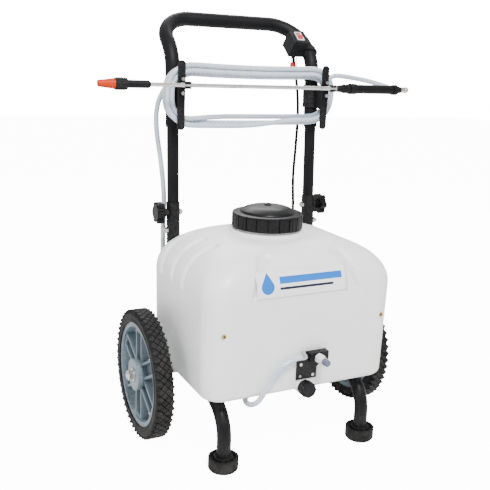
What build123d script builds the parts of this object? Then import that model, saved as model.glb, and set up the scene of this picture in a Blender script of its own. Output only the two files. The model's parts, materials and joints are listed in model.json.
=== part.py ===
from build123d import *
from math import cos, pi, radians, sin, tan
import os

# Wheeled sprayer cart, millimetres. +Z is up and -Y is the front.
# The origin is on the floor, on the middle plane, under the axis of the filler lid.

# ---- tubes of the frame
rail_radius = 16.0
rail_wall = 1.9
rail_height = 148.0
rail_bend = 80.0
upright_x = 188.5
upright_y = 130.6
upright_lean = 0.055
upright_level = 600.0
socket_top = 540.0
telescope_clearance = 0.1
cross_tube_radius = 12.5
cross_tube_wall = 1.5
rear_cross_y = 88.0
front_bar_y = -100.0
front_bar_width = 30.0
front_bar_thick = 4.0

# ---- feet
foot_x = 182.0
foot_y = -182.3
foot_radius = 34.0
foot_height = 29.0
foot_floor = 9.0
collar_radius = 22.0

# ---- wheels and axle
wheel_radius = 152.4
tyre_width = 42.0
tyre_seat_radius = 122.0
rim_flange_radius = 126.5
rim_inner_radius = 112.0
rim_width = 34.0
spoke_count = 6
spoke_width = 38.0
hub_radius = 25.0
hub_disc_radius = 37.0
hub_length = 48.0
hub_proud = 5.0
wheel_plane_x = 290.0
axle_y = 38.8
axle_radius = 8.0
bush_wall = 5.0
bush_clearance = 0.05
washer_thick = 2.0
washer_radius = 15.0
spacer_radius = 11.0
side_play = 0.2

# ---- tank
tank_half_width = 237.0
tank_draft = 4.0
tank_front = -202.5
tank_rear = 146.0
tank_shoulder_height = 388.0
tank_wall = 4.5
tank_corner = 48.0
shoulder_radius = 85.0
crown_radius = 190.0
shoulder_share = radians(61.0)
front_shoulder = 0.8
rear_shoulder = 0.45
channel_gap = 2.0
insert_x = 200.0
insert_z = 318.0
insert_radius = 5.0
insert_bore = 3.0
drain_height = 174.0
drain_spout_radius = 13.0
drain_bore = 9.0
drain_boss_radius = 18.0
drain_spout_length = 20.0
drain_cap_radius = 16.5
drain_cap_start = 4.5
drain_cap_length = 24.0
drain_lobe_count = 8
drain_lobe_radius = 4.5
drain_lobe_circle = 14.0
drain_cap_clearance = 0.4
drain_gasket_thick = 2.0
bottom_round = 14.0
bolt_x = 120.0
bolt_radius = 4.0
bolt_clearance = 0.2
bolt_flats = 13.0
bolt_head_thick = 6.0
bar_gap = 0.5
insert_proud = 0.5
insert_depth = 9.0

# ---- filler neck, strainer and lid
neck_radius = 74.0
neck_bore = 66.0
neck_top = 520.0
neck_flange_radius = 90.0
neck_flange_height = 492.0
strainer_radius = 62.0
strainer_depth = 92.0
strainer_wall = 2.0
strainer_rim_thick = 2.0
strainer_window_count = 6
strainer_window_half = 22.0
strainer_window_margin = 14.0
strainer_mesh_thick = 0.6
gasket_thick = 3.0
lid_radius = 84.0
lid_bottom = 496.0
lid_ring_top = 531.0
lid_dome_radius = 66.0
lid_dome_top = 548.0
lid_wall = 4.0
lid_clearance = 1.0
lid_rib_count = 20
lid_rib_width = 11.0
lid_step = 5.0
vent_radius = 8.0
vent_height = 2.5

# ---- handle
handle_radius = 14.0
handle_wall = 1.5
handle_bottom = 385.0
handle_knee = 885.0
handle_knee_radius = 90.0
handle_top = 967.0
handle_back = 243.0
handle_corner_radius = 80.0
grip_bottom = 717.0
grip_thick = 3.0

# ---- hose hooks and lance clips
hook_bottom = 715.0
hook_top = 870.0
hook_front = 79.5
hook_bar_width = 17.0
hook_bar_thick = 5.0
hook_bar_x = 190.5
hook_arm_bottom = 765.0
hook_arm_top = 821.0
hook_arm_thick = 6.0
hook_clamp_thick = 4.0
clip_width = 14.0
clip_wall = 3.5
clip_clearance = 0.15
clip_screw_z = 798.0

# ---- star knobs
knob_height = 516.0
knob_radius = 27.0
knob_lobes = 6
knob_outer_x = 234.0
knob_thick = 18.0
knob_neck_radius = 12.0
knob_gap = 0.5
lobe_radius = 7.5
stud_end_gap = 0.6
stud_grip = 10.0
boss_radius = 9.0
boss_length = 5.0
nut_flats = 13.0
stud_radius = 4.0
stud_clearance = 0.1
stop_screw_height = 473.0

# ---- lance
lance_y = 45.0
lance_z = 817.0
lance_tube_radius = 4.7
lance_tube_bore = 3.2
lance_tube_left = -344.0
nozzle_left = -393.0
nozzle_nut_left = -357.0
nozzle_nut_right = -330.0
nozzle_nut_radius = 13.5
neck_left = -346.0
lance_neck_radius = 7.0
nozzle_clearance = 0.1
nozzle_flute_count = 12
nozzle_passage = 2.5
spray_hole = 1.0
lance_collar_right = -278.0
lance_collar_radius = 8.5
lance_grip_left = 201.0
lance_grip_right = 393.0
lance_grip_radius = 11.0
trigger_pivot_x = 246.0
trigger_length = 92.0
trigger_width = 11.0
trigger_offset = 18.5
trigger_eye_radius = 4.5
trigger_pin_radius = 2.0
trigger_pin_clearance = 0.05
trigger_lug_thick = 3.0
trigger_lug_radius = 5.0
trigger_lug_z = 7.5
grip_ring_radius = 13.0
grip_passage = 3.0
tube_socket = 14.0
elbow_x = 411.0
elbow_radius = 7.0

# ---- hose, cable and what they run to
hose_diameter = 12.0
cable_diameter = 7.5
coil_half_length = 227.0
coil_bottom = 718.0
coil_top = 868.0
coil_end_thick = 24.0
coil_side_thick = 33.0
coil_front = 87.0
coil_rear = 118.5
coil_end_radius = 62.0

# ---- pump and battery
battery_length = 151.0
battery_width = 65.0
battery_height = 94.0
battery_gap = 4.0
tray_front = 49.0
tray_thick = 2.0
tray_lip = 14.0
strap_width = 20.0
strap_thick = 1.5
pump_y = -28.0
pump_z = 129.0
motor_radius = 26.0
motor_length = 95.0
pump_head_size = 62.0
pump_head_right = -20.0
bracket_thick = 2.5
bracket_left = -96.0
bracket_right = 92.0
bracket_hole = 8.5
saddle_width = 16.0
saddle_half_depth = 20.0
port_radius = 7.0

# ---- regulator on the tank front
plate_thick = 3.0
plate_screw_radius = 3.6
valve_left = 2.0
valve_right = 50.0
valve_bottom = 238.0
valve_top = 258.0
valve_depth = 16.0
plate_screw_points = ((-11.0, 228.0), (-12.0, 200.0), (21.0, 200.0))
plate_screw_shank = 2.0
fitting_flats = 20.0
fitting_hex_length = 9.0
fitting_length = 22.0
fitting_radius = 8.5
gauge_x = 25.0
gauge_z = 245.0
gauge_tip = -257.0
dial_radius = 7.5
dial_gap = 0.3
barb_radius = 5.0
clamp_band_thick = 1.0
clamp_start = 3.0
clamp_width = 8.0

# ---- switch box
switch_center = (149.0, 165.0, 920.0)
switch_width = 42.0
switch_length = 44.0
switch_height = 46.0
switch_tilt = 39.84
switch_wall = 2.5
rocker_hole_width = 14.4
rocker_hole_length = 24.4
rocker_radius = 11.5
rocker_width = 13.6
bezel_thick = 2.0
bezel_margin = 2.3
cable_hole_x = 8.0
saddle_band = 2.5

tank_bottom = rail_height + rail_radius
axle_z = wheel_radius
sides = {"left": -1, "right": 1}


def save(name, shape):
    """Write one named piece to its own file."""
    export_step(shape, f"parts/{name}.step")


def rod(start, end, radius):
    """A solid round bar from one point to another."""
    start = Vector(*start)
    axis = Vector(*end) - start
    return extrude(Plane(origin=start, z_dir=axis) * Circle(radius), amount=axis.length)


def pipe(start, end, radius, bore):
    """A straight tube from one point to another."""
    return rod(start, end, radius) - rod(start, end, bore)


def cone(start, end, start_radius, end_radius):
    """A round bar that tapers from one point to another."""
    start = Vector(*start)
    end = Vector(*end)
    first = Plane(origin=start, z_dir=end - start) * Circle(start_radius)
    last = Plane(origin=end, z_dir=end - start) * Circle(end_radius)
    return loft([first, last])


def block(low, high):
    """A box between its lowest and its highest corner."""
    size = [b - a for a, b in zip(low, high)]
    middle = [(a + b) / 2 for a, b in zip(low, high)]
    return Pos(*middle) * Box(*size)


def hexagon(start, end, flats):
    """A hexagonal bar from one point to another, with its width across flats."""
    start = Vector(*start)
    axis = Vector(*end) - start
    outline = RegularPolygon(radius=flats / 2, side_count=6, major_radius=False)
    return extrude(Plane(origin=start, z_dir=axis) * outline, amount=axis.length)


def swept(path, outer, bore=0):
    """A round section carried along a path."""
    start = Plane(origin=path @ 0, z_dir=path % 0)
    section = start * Circle(outer)
    if bore:
        section -= start * Circle(bore)
    return sweep(section, path=path)


def upright_point(side, z):
    """A point on the centre line of an upright, at a height."""
    return (side * upright_x, upright_y + upright_lean * (z - upright_level), z)


# ================================================================= frame


def rail_path(side):
    """Foot, bend, run under the tank, bend, upright."""
    foot = (side * foot_x, foot_y)
    points = [
        (*foot, foot_floor),
        (*foot, rail_height),
        upright_point(side, rail_height),
        upright_point(side, socket_top),
    ]
    return FilletPolyline(*points, radius=[rail_bend, rail_bend])


def rail_envelope(side):
    return swept(rail_path(side), rail_radius)


def side_rail(side):
    """One bent tube: leg, lower run and socketed upright."""
    rail = swept(rail_path(side), rail_radius, rail_radius - rail_wall)
    x = side * upright_x
    reach = 2 * rail_radius
    rail -= rod((x - reach, axle_y, axle_z), (x + reach, axle_y, axle_z), axle_radius)
    y = upright_point(side, knob_height)[1]
    rail -= rod((x, y, knob_height), (x + side * reach, y, knob_height), stud_radius + stud_clearance)
    return rail


def rear_cross_tube():
    reach = upright_x
    tube = pipe(
        (-reach, rear_cross_y, rail_height),
        (reach, rear_cross_y, rail_height),
        cross_tube_radius,
        cross_tube_radius - cross_tube_wall,
    )
    return tube - rail_envelope(-1) - rail_envelope(1)


def front_cross_bar():
    """Flat bar between the rails that carries the tank bolts and the pump."""
    top = tank_bottom - bar_gap
    half = front_bar_width / 2
    bar = block(
        (-foot_x, front_bar_y - half, top - front_bar_thick),
        (foot_x, front_bar_y + half, top),
    )
    for x in (-bolt_x, bolt_x):
        hole_radius = bolt_radius + bolt_clearance
        bar -= rod((x, front_bar_y, top - 10), (x, front_bar_y, top + 10), hole_radius)
    return bar - rail_envelope(-1) - rail_envelope(1)


def rubber_foot(side):
    """Rubber cup with a recessed top, pushed on the leg."""
    x = side * foot_x
    low = cone((x, foot_y, 0), (x, foot_y, 4), foot_radius - 3, foot_radius)
    high = rod((x, foot_y, 4), (x, foot_y, foot_height), foot_radius)
    recess = rod((x, foot_y, foot_height - 8), (x, foot_y, foot_height + 1), foot_radius - 6)
    bore = rod((x, foot_y, foot_floor), (x, foot_y, foot_height + 1), rail_radius)
    return low + high - recess - bore


def foot_collars():
    """Steel rings welded to the legs, which seat in the recess of the rubber feet."""
    rings = []
    for side in sides.values():
        x = side * foot_x
        low = (x, foot_y, foot_height - 8)
        rings.append(pipe(low, (x, foot_y, foot_height + 2), collar_radius, rail_radius))
    return rings


def socket_bosses():
    """Threaded bosses for the knob studs, welded to the outside of the sockets."""
    bosses = []
    for side in sides.values():
        x, y, z = upright_point(side, knob_height)
        face = x + side * rail_radius
        bore = stud_radius + stud_clearance
        boss = pipe((x + side * 2, y, z), (face + side * boss_length, y, z), boss_radius, bore)
        bosses.append(boss - rail_envelope(side))
    return bosses


def stop_screws():
    """Short screws with nuts below each knob, and the nut on the inner side of each socket."""
    screws = []
    for side in sides.values():
        x, y, z = upright_point(side, stop_screw_height)
        face = x + side * rail_radius
        nut = hexagon((x, y, z), (face + side * 6, y, z), nut_flats)
        end = rod((x, y, z), (face + side * 12, y, z), stud_radius)
        screws.append(nut + end - rail_envelope(side))
        x, y, z = upright_point(side, knob_height)
        face = x - side * rail_radius
        nut = hexagon((x, y, z), (face - side * 5, y, z), nut_flats)
        end = rod((x, y, z), (face - side * 8, y, z), stud_radius)
        screws.append(nut + end - rail_envelope(side))
    return screws


# ================================================================= wheels

hub_outer_x = wheel_plane_x + tyre_width / 2 + hub_proud
hub_inner_x = hub_outer_x - hub_length
spacer_end_x = hub_inner_x - side_play - washer_thick
axle_end_x = hub_outer_x + side_play + washer_thick + 9


def on_axle(shape, side):
    """Turn a shape built about +Z so that +Z points outwards along the axle."""
    return Pos(side * wheel_plane_x, axle_y, axle_z) * Rot(0, side * 90, 0) * shape


def rim_band():
    """Rim band with its two flanges, about Z."""
    half = rim_width / 2
    band = Cylinder(tyre_seat_radius, rim_width)
    for z in (-half + 1.5, half - 1.5):
        band += Pos(0, 0, z) * Cylinder(rim_flange_radius, 3)
    return band - Cylinder(rim_inner_radius, rim_width + 1)


def wheel_rim():
    """Plastic wheel centre: band, six broad channel spokes, hub and hub disc, about Z."""
    outer = tyre_width / 2 + hub_proud
    rim = rim_band()
    start = hub_radius - 5
    length = rim_inner_radius + 2 - start
    for index in range(spoke_count):
        turn = Rot(0, 0, index * 360 / spoke_count)
        spoke = Box(length, spoke_width, 20)
        pocket = Pos(0, 0, 6) * Box(length - 22, spoke_width - 11, 16)
        back = Pos(0, 0, -9) * Box(length - 22, spoke_width - 11, 12)
        rim += turn * Pos(start + length / 2, 0, 3) * (spoke - pocket - back)
    rim += Pos(0, 0, outer - hub_length / 2) * Cylinder(hub_radius, hub_length)
    rim += Pos(0, 0, outer - 6) * Cylinder(hub_disc_radius, 12)
    return rim - Cylinder(axle_radius + bush_wall, 3 * hub_length)


def tyre():
    """Solid rubber tyre seated on the rim band, about Z."""
    inner = tyre_seat_radius - 4
    middle = (wheel_radius + inner) / 2
    outline = Plane.XZ * Pos(middle, 0) * RectangleRounded(wheel_radius - inner, tyre_width, 9)
    return revolve(outline, Axis.Z) - rim_band() - Cylinder(tyre_seat_radius, 2 * tyre_width)


def wheel_bush():
    """Nylon bush pressed into the hub, which turns on the axle, about Z."""
    outer = tyre_width / 2 + hub_proud
    sleeve = Cylinder(axle_radius + bush_wall, hub_length) - Cylinder(axle_radius + bush_clearance, 99)
    return Pos(0, 0, outer - hub_length / 2) * sleeve


def axle():
    bar = rod((-axle_end_x, axle_y, axle_z), (axle_end_x, axle_y, axle_z), axle_radius)
    return chamfer(bar.edges(), 1)


def axle_spacers():
    """Sleeves that keep each wheel off its side rail, coped to the rail."""
    sleeves = []
    for side in sides.values():
        start = (side * upright_x, axle_y, axle_z)
        end = (side * spacer_end_x, axle_y, axle_z)
        sleeves.append(pipe(start, end, spacer_radius, axle_radius) - rail_envelope(side))
    return sleeves


def axle_washers():
    rings = []
    for side in sides.values():
        for x in (spacer_end_x, hub_outer_x + side_play):
            start = (side * x, axle_y, axle_z)
            end = (side * (x + washer_thick), axle_y, axle_z)
            rings.append(pipe(start, end, washer_radius, axle_radius))
    return rings


def axle_nuts():
    """Domed lock nuts on both axle ends."""
    nuts = []
    for side in sides.values():
        x = hub_outer_x + side_play + washer_thick
        start = (side * x, axle_y, axle_z)
        flat_end = (side * (axle_end_x + 1), axle_y, axle_z)
        dome_end = (side * (axle_end_x + 5), axle_y, axle_z)
        nut = hexagon(start, flat_end, 22) + cone(flat_end, dome_end, 9.5, 6)
        nuts.append(nut - rod(start, (side * axle_end_x, axle_y, axle_z), axle_radius))
    return nuts


# ================================================================= tank


def shoulder(turn, shrink):
    """How far the tank has drawn in and risen once its surface has turned by an angle."""
    small = shoulder_radius - shrink
    large = crown_radius - shrink
    first = min(turn, shoulder_share)
    inset = small * (1 - cos(first))
    rise = small * sin(first)
    if turn > shoulder_share:
        inset += large * (cos(shoulder_share) - cos(turn))
        rise += large * (sin(turn) - sin(shoulder_share))
    return inset, rise


def tank_section(z, inset, shrink, narrow=0):
    """Rounded rectangle of the tank at one height."""
    half = tank_half_width - shrink - inset - narrow
    front = tank_front + shrink + front_shoulder * inset
    rear = tank_rear - shrink - rear_shoulder * inset
    widest_corner = 0.495 * min(2 * half, rear - front)
    corner = min(tank_corner - shrink + 0.25 * inset, widest_corner)
    outline = RectangleRounded(2 * half, rear - front, corner)
    return Plane.XY.offset(z) * Pos(0, (front + rear) / 2) * outline


def tank_form(shrink):
    """Outer form of the tank, drawn in by a wall all round."""
    base = loft([
        tank_section(tank_bottom + shrink, 0, shrink, tank_draft),
        tank_section(tank_shoulder_height, 0, shrink),
    ])
    base = fillet(base.edges().group_by(Axis.Z)[0], bottom_round - shrink)
    rings = []
    for degrees_turned in (0, 10, 20, 30, 40, 50, 60, 70, 80, 88):
        inset, rise = shoulder(radians(degrees_turned), shrink)
        rings.append(tank_section(tank_shoulder_height + rise, inset, shrink))
    return base + loft(rings)


def tank_cavities(grow):
    """Channels for the uprights and the battery recess, enlarged by a wall."""
    cuts = []
    for side in sides.values():
        radius = rail_radius + channel_gap + grow
        low = upright_point(side, tank_bottom - 40)
        high = upright_point(side, tank_bottom + 400)
        slot = rod(low, high, radius)
        x = side * upright_x
        middle = upright_point(side, (low[2] + high[2]) / 2)[1]
        slot += block((x - radius, middle, low[2]), (x + radius, tank_rear + 40, high[2]))
        slot += swept(rail_path(side), radius) & block((-300, axle_y - 20, 0), (300, 300, 400))
        cuts.append(slot)
    half = battery_length / 2 + battery_gap + grow
    front = tray_front - battery_gap - grow
    top = rail_height + cross_tube_radius + tray_thick + battery_height + 8 + grow
    cuts.append(block((-half, front, tank_bottom - 20), (half, tank_rear + 40, top)))
    return cuts


def tank():
    """Blow-moulded tank with neck, drain spout, rear channels and a battery recess."""
    outer = tank_form(0)
    inner = tank_form(tank_wall)
    crown = outer.bounding_box().max.Z
    for cut in tank_cavities(0):
        outer -= cut
    for cut in tank_cavities(tank_wall):
        inner -= cut
    outer += rod((0, 0, crown - 30), (0, 0, neck_flange_height), neck_flange_radius)
    outer += rod((0, 0, crown - 30), (0, 0, neck_top), neck_radius)
    spout_end = tank_front - drain_spout_length
    outer += rod((0, tank_front + 20, drain_height), (0, tank_front - 4, drain_height), drain_boss_radius)
    outer += rod((0, tank_front, drain_height), (0, spout_end, drain_height), drain_spout_radius)
    shell = outer - inner
    shell -= rod((0, 0, crown - 45), (0, 0, neck_top + 1), neck_bore)
    shell -= rod((0, tank_front + 40, drain_height), (0, spout_end - 1, drain_height), drain_bore)
    for x in (-insert_x, insert_x):
        shell -= rod((x, tank_front - 1, insert_z), (x, tank_front + insert_depth, insert_z), insert_radius)
    for x in (-bolt_x, bolt_x):
        shell -= rod((x, front_bar_y, tank_bottom - 1), (x, front_bar_y, tank_bottom + 9), bolt_radius)
    return shell


def boom_inserts():
    """Threaded brass inserts in the tank front, for a spray boom."""
    inserts = []
    for x in (-insert_x, insert_x):
        face = (x, tank_front - insert_proud, insert_z)
        inserts.append(pipe(face, (x, tank_front + tank_wall, insert_z), insert_radius, insert_bore))
    return Compound(inserts)


def tank_bolts():
    """Bolts that hold the tank down on the front cross bar."""
    bolts = []
    bar_bottom = tank_bottom - bar_gap - front_bar_thick
    for x in (-bolt_x, bolt_x):
        shank = rod((x, front_bar_y, bar_bottom), (x, front_bar_y, tank_bottom + tank_wall), bolt_radius)
        head_bottom = (x, front_bar_y, bar_bottom - bolt_head_thick)
        head = hexagon(head_bottom, (x, front_bar_y, bar_bottom), bolt_flats)
        bolts.append(shank + head)
    return bolts


def drain_cap():
    """Lobed cap screwed over the drain spout, about the spout's axis."""
    start = tank_front - drain_cap_start
    end = start - drain_cap_length
    cap = rod((0, start, drain_height), (0, end, drain_height), drain_cap_radius)
    for index in range(drain_lobe_count):
        angle = 2 * pi * index / drain_lobe_count
        x = drain_lobe_circle * cos(angle)
        z = drain_height + drain_lobe_circle * sin(angle)
        cap += rod((x, start - 2, z), (x, end + 1, z), drain_lobe_radius)
    bore_end = tank_front - drain_spout_length - drain_gasket_thick - 0.2
    bore = drain_spout_radius + drain_cap_clearance
    return cap - rod((0, start + 1, drain_height), (0, bore_end, drain_height), bore)


def drain_gasket():
    """Rubber washer inside the drain cap."""
    start = tank_front - drain_spout_length - 0.2
    end = (0, start - drain_gasket_thick, drain_height)
    return pipe((0, start, drain_height), end, drain_spout_radius, drain_bore)


# ================================================================= lid


def strainer():
    """Basket that hangs in the neck by its flange, with meshed windows."""
    low = neck_top - strainer_depth
    top = neck_top + strainer_rim_thick
    bore = strainer_radius - strainer_wall
    basket = rod((0, 0, low), (0, 0, top), strainer_radius)
    basket += rod((0, 0, neck_top), (0, 0, top), neck_radius - 2)
    basket -= rod((0, 0, low + strainer_wall), (0, 0, top + 1), bore)
    half = strainer_window_half
    margin = strainer_window_margin
    turns = [Rot(0, 0, index * 360 / strainer_window_count) for index in range(strainer_window_count)]
    window = block((0, -half, low + margin), (strainer_radius + 5, half, neck_top - margin))
    mesh_face = strainer_radius - 1
    mesh_low = (mesh_face - strainer_mesh_thick, -half - 1, low + margin - 1)
    mesh = block(mesh_low, (mesh_face, half + 1, neck_top - margin + 1))
    for turn in turns:
        basket -= turn * window
    for turn in turns:
        basket += turn * mesh
    return basket


def lid():
    """Ribbed screw ring with a domed centre, hollow underneath."""
    skirt = rod((0, 0, lid_bottom), (0, 0, lid_ring_top), lid_radius - 2.5)
    for index in range(lid_rib_count):
        turn = Rot(0, 0, index * 360 / lid_rib_count)
        half = lid_rib_width / 2
        rib = block((lid_radius - 8, -half, lid_bottom), (lid_radius, half, lid_ring_top - 2))
        skirt += turn * rib
    step = lid_ring_top + lid_step
    dome = rod((0, 0, lid_ring_top), (0, 0, step), lid_dome_radius)
    dome += cone((0, 0, step), (0, 0, lid_dome_top), lid_dome_radius - 1, lid_dome_radius - 16)
    bore = rod((0, 0, lid_bottom - 1), (0, 0, lid_ring_top - lid_wall), neck_radius + lid_clearance)
    under = rod((0, 0, lid_ring_top - lid_wall - 1), (0, 0, step - 1), lid_dome_radius - lid_wall)
    vent = rod((0, 0, lid_dome_top - 1), (0, 0, lid_dome_top + vent_height), vent_radius)
    return skirt + dome + vent - bore - under


def lid_gasket():
    """Flat ring between the strainer flange and the lid."""
    low = neck_top + strainer_rim_thick
    return pipe((0, 0, low), (0, 0, low + gasket_thick), neck_radius - 2, neck_bore)


# ================================================================= handle


def handle_path(bottom):
    """Leg, knee, corner, top bar, and back down the other side."""
    top = (handle_back, handle_top)
    points = [
        upright_point(-1, bottom),
        upright_point(-1, handle_knee),
        (-upright_x, *top),
        (upright_x, *top),
        upright_point(1, handle_knee),
        upright_point(1, bottom),
    ]
    radii = [handle_knee_radius, handle_corner_radius, handle_corner_radius, handle_knee_radius]
    return FilletPolyline(*points, radius=radii)


def handle_tube():
    return swept(handle_path(handle_bottom), handle_radius, handle_radius - handle_wall)


def grip():
    """Foam sleeve over the upper part of the handle."""
    return swept(handle_path(grip_bottom), handle_radius + grip_thick, handle_radius)


def hose_hook(side):
    """Clamp round the handle leg, arm, and upright bar that keeps the hose coil on."""
    grip_radius = handle_radius + grip_thick
    low = upright_point(side, hook_arm_bottom)
    high = upright_point(side, hook_arm_top)
    below = upright_point(side, hook_arm_bottom - 20)
    above = upright_point(side, hook_arm_top + 20)
    bore = rod(below, above, grip_radius)
    clamp = rod(low, high, grip_radius + hook_clamp_thick)
    x = side * upright_x
    arm = block(
        (x - hook_arm_thick / 2, hook_front + hook_bar_thick - 1, hook_arm_bottom),
        (x + hook_arm_thick / 2, low[1], hook_arm_top),
    )
    middle = (hook_bottom + hook_top) / 2
    outline = SlotOverall(hook_top - hook_bottom, hook_bar_width, rotation=90)
    rear = (side * hook_bar_x, hook_front + hook_bar_thick, middle)
    bar = Plane(origin=rear, x_dir=(1, 0, 0), z_dir=(0, -1, 0)) * outline
    return clamp + arm + extrude(bar, amount=hook_bar_thick) - bore


def lance_clip(side):
    """Open clip on the front of a hook bar, which the lance drops into."""
    x = side * hook_bar_x
    half = clip_width / 2
    bore = lance_tube_radius + clip_clearance
    outer = bore + clip_wall
    jaw = rod((x - half, lance_y, lance_z), (x + half, lance_y, lance_z), outer)
    neck = block((x - half + 2, lance_y, lance_z - 6), (x + half - 2, hook_front, lance_z + 6))
    foot_plate = block((x - half, hook_front - 4, clip_screw_z - 9), (x + half, hook_front, lance_z + 16))
    pad = rod((x, hook_front - 6, clip_screw_z), (x, hook_front, clip_screw_z), 6.5)
    opening = rod((x - half - 1, lance_y, lance_z), (x + half + 1, lance_y, lance_z), bore)
    opening += block((x - half - 1, lance_y - 30, lance_z - bore), (x + half + 1, lance_y, lance_z + bore))
    screw = rod((x, hook_front - 8, clip_screw_z), (x, hook_front, clip_screw_z), 2.5)
    return jaw + neck + foot_plate + pad - opening - screw


def hook_screws():
    """Screws of the lance clips, and the pinch screws of the hook clamps."""
    screws = []
    for side in sides.values():
        x = side * hook_bar_x
        head = rod((x, hook_front - 8.5, clip_screw_z), (x, hook_front - 6, clip_screw_z), 4.2)
        screws.append(head + rod((x, hook_front - 6, clip_screw_z), (x, hook_front, clip_screw_z), 2.5))
        cap = rod((x, hook_front - 9, lance_z + 12), (x, hook_front - 4, lance_z + 12), 4)
        screws.append(cap)
    return Compound(screws)


tilted = Plane(
    origin=switch_center,
    x_dir=(1, 0, 0),
    z_dir=(0, -sin(radians(switch_tilt)), cos(radians(switch_tilt))),
)


def in_box(x, along, up):
    """A point in the tilted axes of the switch box: across, along the tube, and outwards."""
    point = tilted.from_local_coords(Vector(x, along, up))
    return (point.X, point.Y, point.Z)


def switch_box():
    """Hollow plastic box with a hole for the rocker and one for the cable."""
    shell = Box(switch_width, switch_length, switch_height)
    inside = 2 * switch_wall
    shell -= Box(switch_width - inside, switch_length - inside, switch_height - inside)
    shell -= Pos(0, 0, switch_height / 2) * Box(rocker_hole_width, rocker_hole_length, 12)
    shell -= Pos(cable_hole_x, 0, -switch_height / 2) * Cylinder(cable_diameter / 2, 12)
    return tilted.location * shell


def switch_bezel():
    """White frame of the rocker, standing on the box."""
    grow = 2 * bezel_margin
    ring = Box(rocker_hole_width + grow, rocker_hole_length + grow, bezel_thick)
    ring -= Box(rocker_hole_width, rocker_hole_length, 2 * bezel_thick)
    return tilted.location * Pos(0, 0, (switch_height + bezel_thick) / 2) * ring


def switch_rocker():
    """Rocker on its pivot, with room to tip in the frame."""
    key = Cylinder(rocker_radius, rocker_width, rotation=(0, 90, 0)) & Pos(0, 0, 6) * Box(20, 40, 12)
    return tilted.location * Pos(0, 0, switch_height / 2 - 6.5) * key


def switch_clip():
    """Saddle between the switch box and the handle grip, and the band round the grip."""
    grip_radius = handle_radius + grip_thick
    x = upright_x
    low = (x, 158.0, 896.0)
    high = (x, 168.0, 904.5)
    saddle = block((switch_center[0] + switch_width / 2 - 1, 150, 892), (x, 172, 906))
    band = rod(low, high, grip_radius + saddle_band) + saddle
    return band - swept(handle_path(grip_bottom), grip_radius) - tilted.location * Box(
        switch_width, switch_length, switch_height
    )


def knob(side):
    """Star knob whose stud threads through the socket boss."""
    x, y, z = upright_point(side, knob_height)
    inner = side * (knob_outer_x - knob_thick)
    outer = side * knob_outer_x
    neck_start = x + side * (rail_radius + boss_length + knob_gap)
    circle = knob_radius - lobe_radius
    head = rod((inner, y, z), (outer, y, z), circle + 0.5)
    for index in range(knob_lobes):
        angle = 2 * pi * index / knob_lobes
        lobe_y = y + circle * cos(angle)
        lobe_z = z + circle * sin(angle)
        head += rod((inner, lobe_y, lobe_z), (outer - side * 2, lobe_y, lobe_z), lobe_radius)
    head += rod((neck_start, y, z), (inner, y, z), knob_neck_radius)
    return head - rod((neck_start - side, y, z), (inner + side * stud_grip, y, z), stud_radius)


def knob_stud(side):
    """Steel stud moulded into a knob."""
    x, y, z = upright_point(side, knob_height)
    tip = x + side * (handle_radius + stud_end_gap)
    return rod((tip, y, z), (side * (knob_outer_x - knob_thick + stud_grip), y, z), stud_radius)


# ================================================================= lance


def along_lance(start, end, radius):
    return rod((start, lance_y, lance_z), (end, lance_y, lance_z), radius)


def lance_cone(start, end, start_radius, end_radius):
    return cone((start, lance_y, lance_z), (end, lance_y, lance_z), start_radius, end_radius)


def lance_tube():
    end = lance_grip_left + tube_socket
    bore = along_lance(lance_tube_left - 1, end + 1, lance_tube_bore)
    return along_lance(lance_tube_left, end, lance_tube_radius) - bore


def lance_collar():
    """Black neck that carries the nozzle, with a longer collar behind it."""
    body = along_lance(neck_left, nozzle_nut_right + 4, lance_neck_radius)
    body += along_lance(nozzle_nut_right + 0.5, lance_collar_right - 4, lance_collar_radius)
    body += lance_cone(lance_collar_right - 4, lance_collar_right, lance_collar_radius, 6)
    return body - along_lance(lance_tube_left, lance_collar_right + 1, lance_tube_radius) - along_lance(
        neck_left - 1, lance_tube_left + 1, lance_tube_bore
    )


def nozzle_nut():
    """Knurled nut that turns on the neck and holds the tip."""
    nut = along_lance(nozzle_nut_left, nozzle_nut_right, nozzle_nut_radius - 1)
    for index in range(nozzle_flute_count):
        angle = 2 * pi * index / nozzle_flute_count
        y = lance_y + (nozzle_nut_radius - 2) * cos(angle)
        z = lance_z + (nozzle_nut_radius - 2) * sin(angle)
        nut += rod((nozzle_nut_left + 2, y, z), (nozzle_nut_right - 3, y, z), 2)
    bore = along_lance(neck_left - 1, nozzle_nut_right + 1, lance_neck_radius + nozzle_clearance)
    passage = along_lance(nozzle_nut_left - 1, neck_left, nozzle_passage)
    return nut - bore - passage


def nozzle_tip():
    """Orange cone with its spray hole."""
    cap = lance_cone(nozzle_nut_left, nozzle_left, 11.5, 7)
    return cap - along_lance(nozzle_left - 1, nozzle_nut_left + 1, spray_hole)


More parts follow.
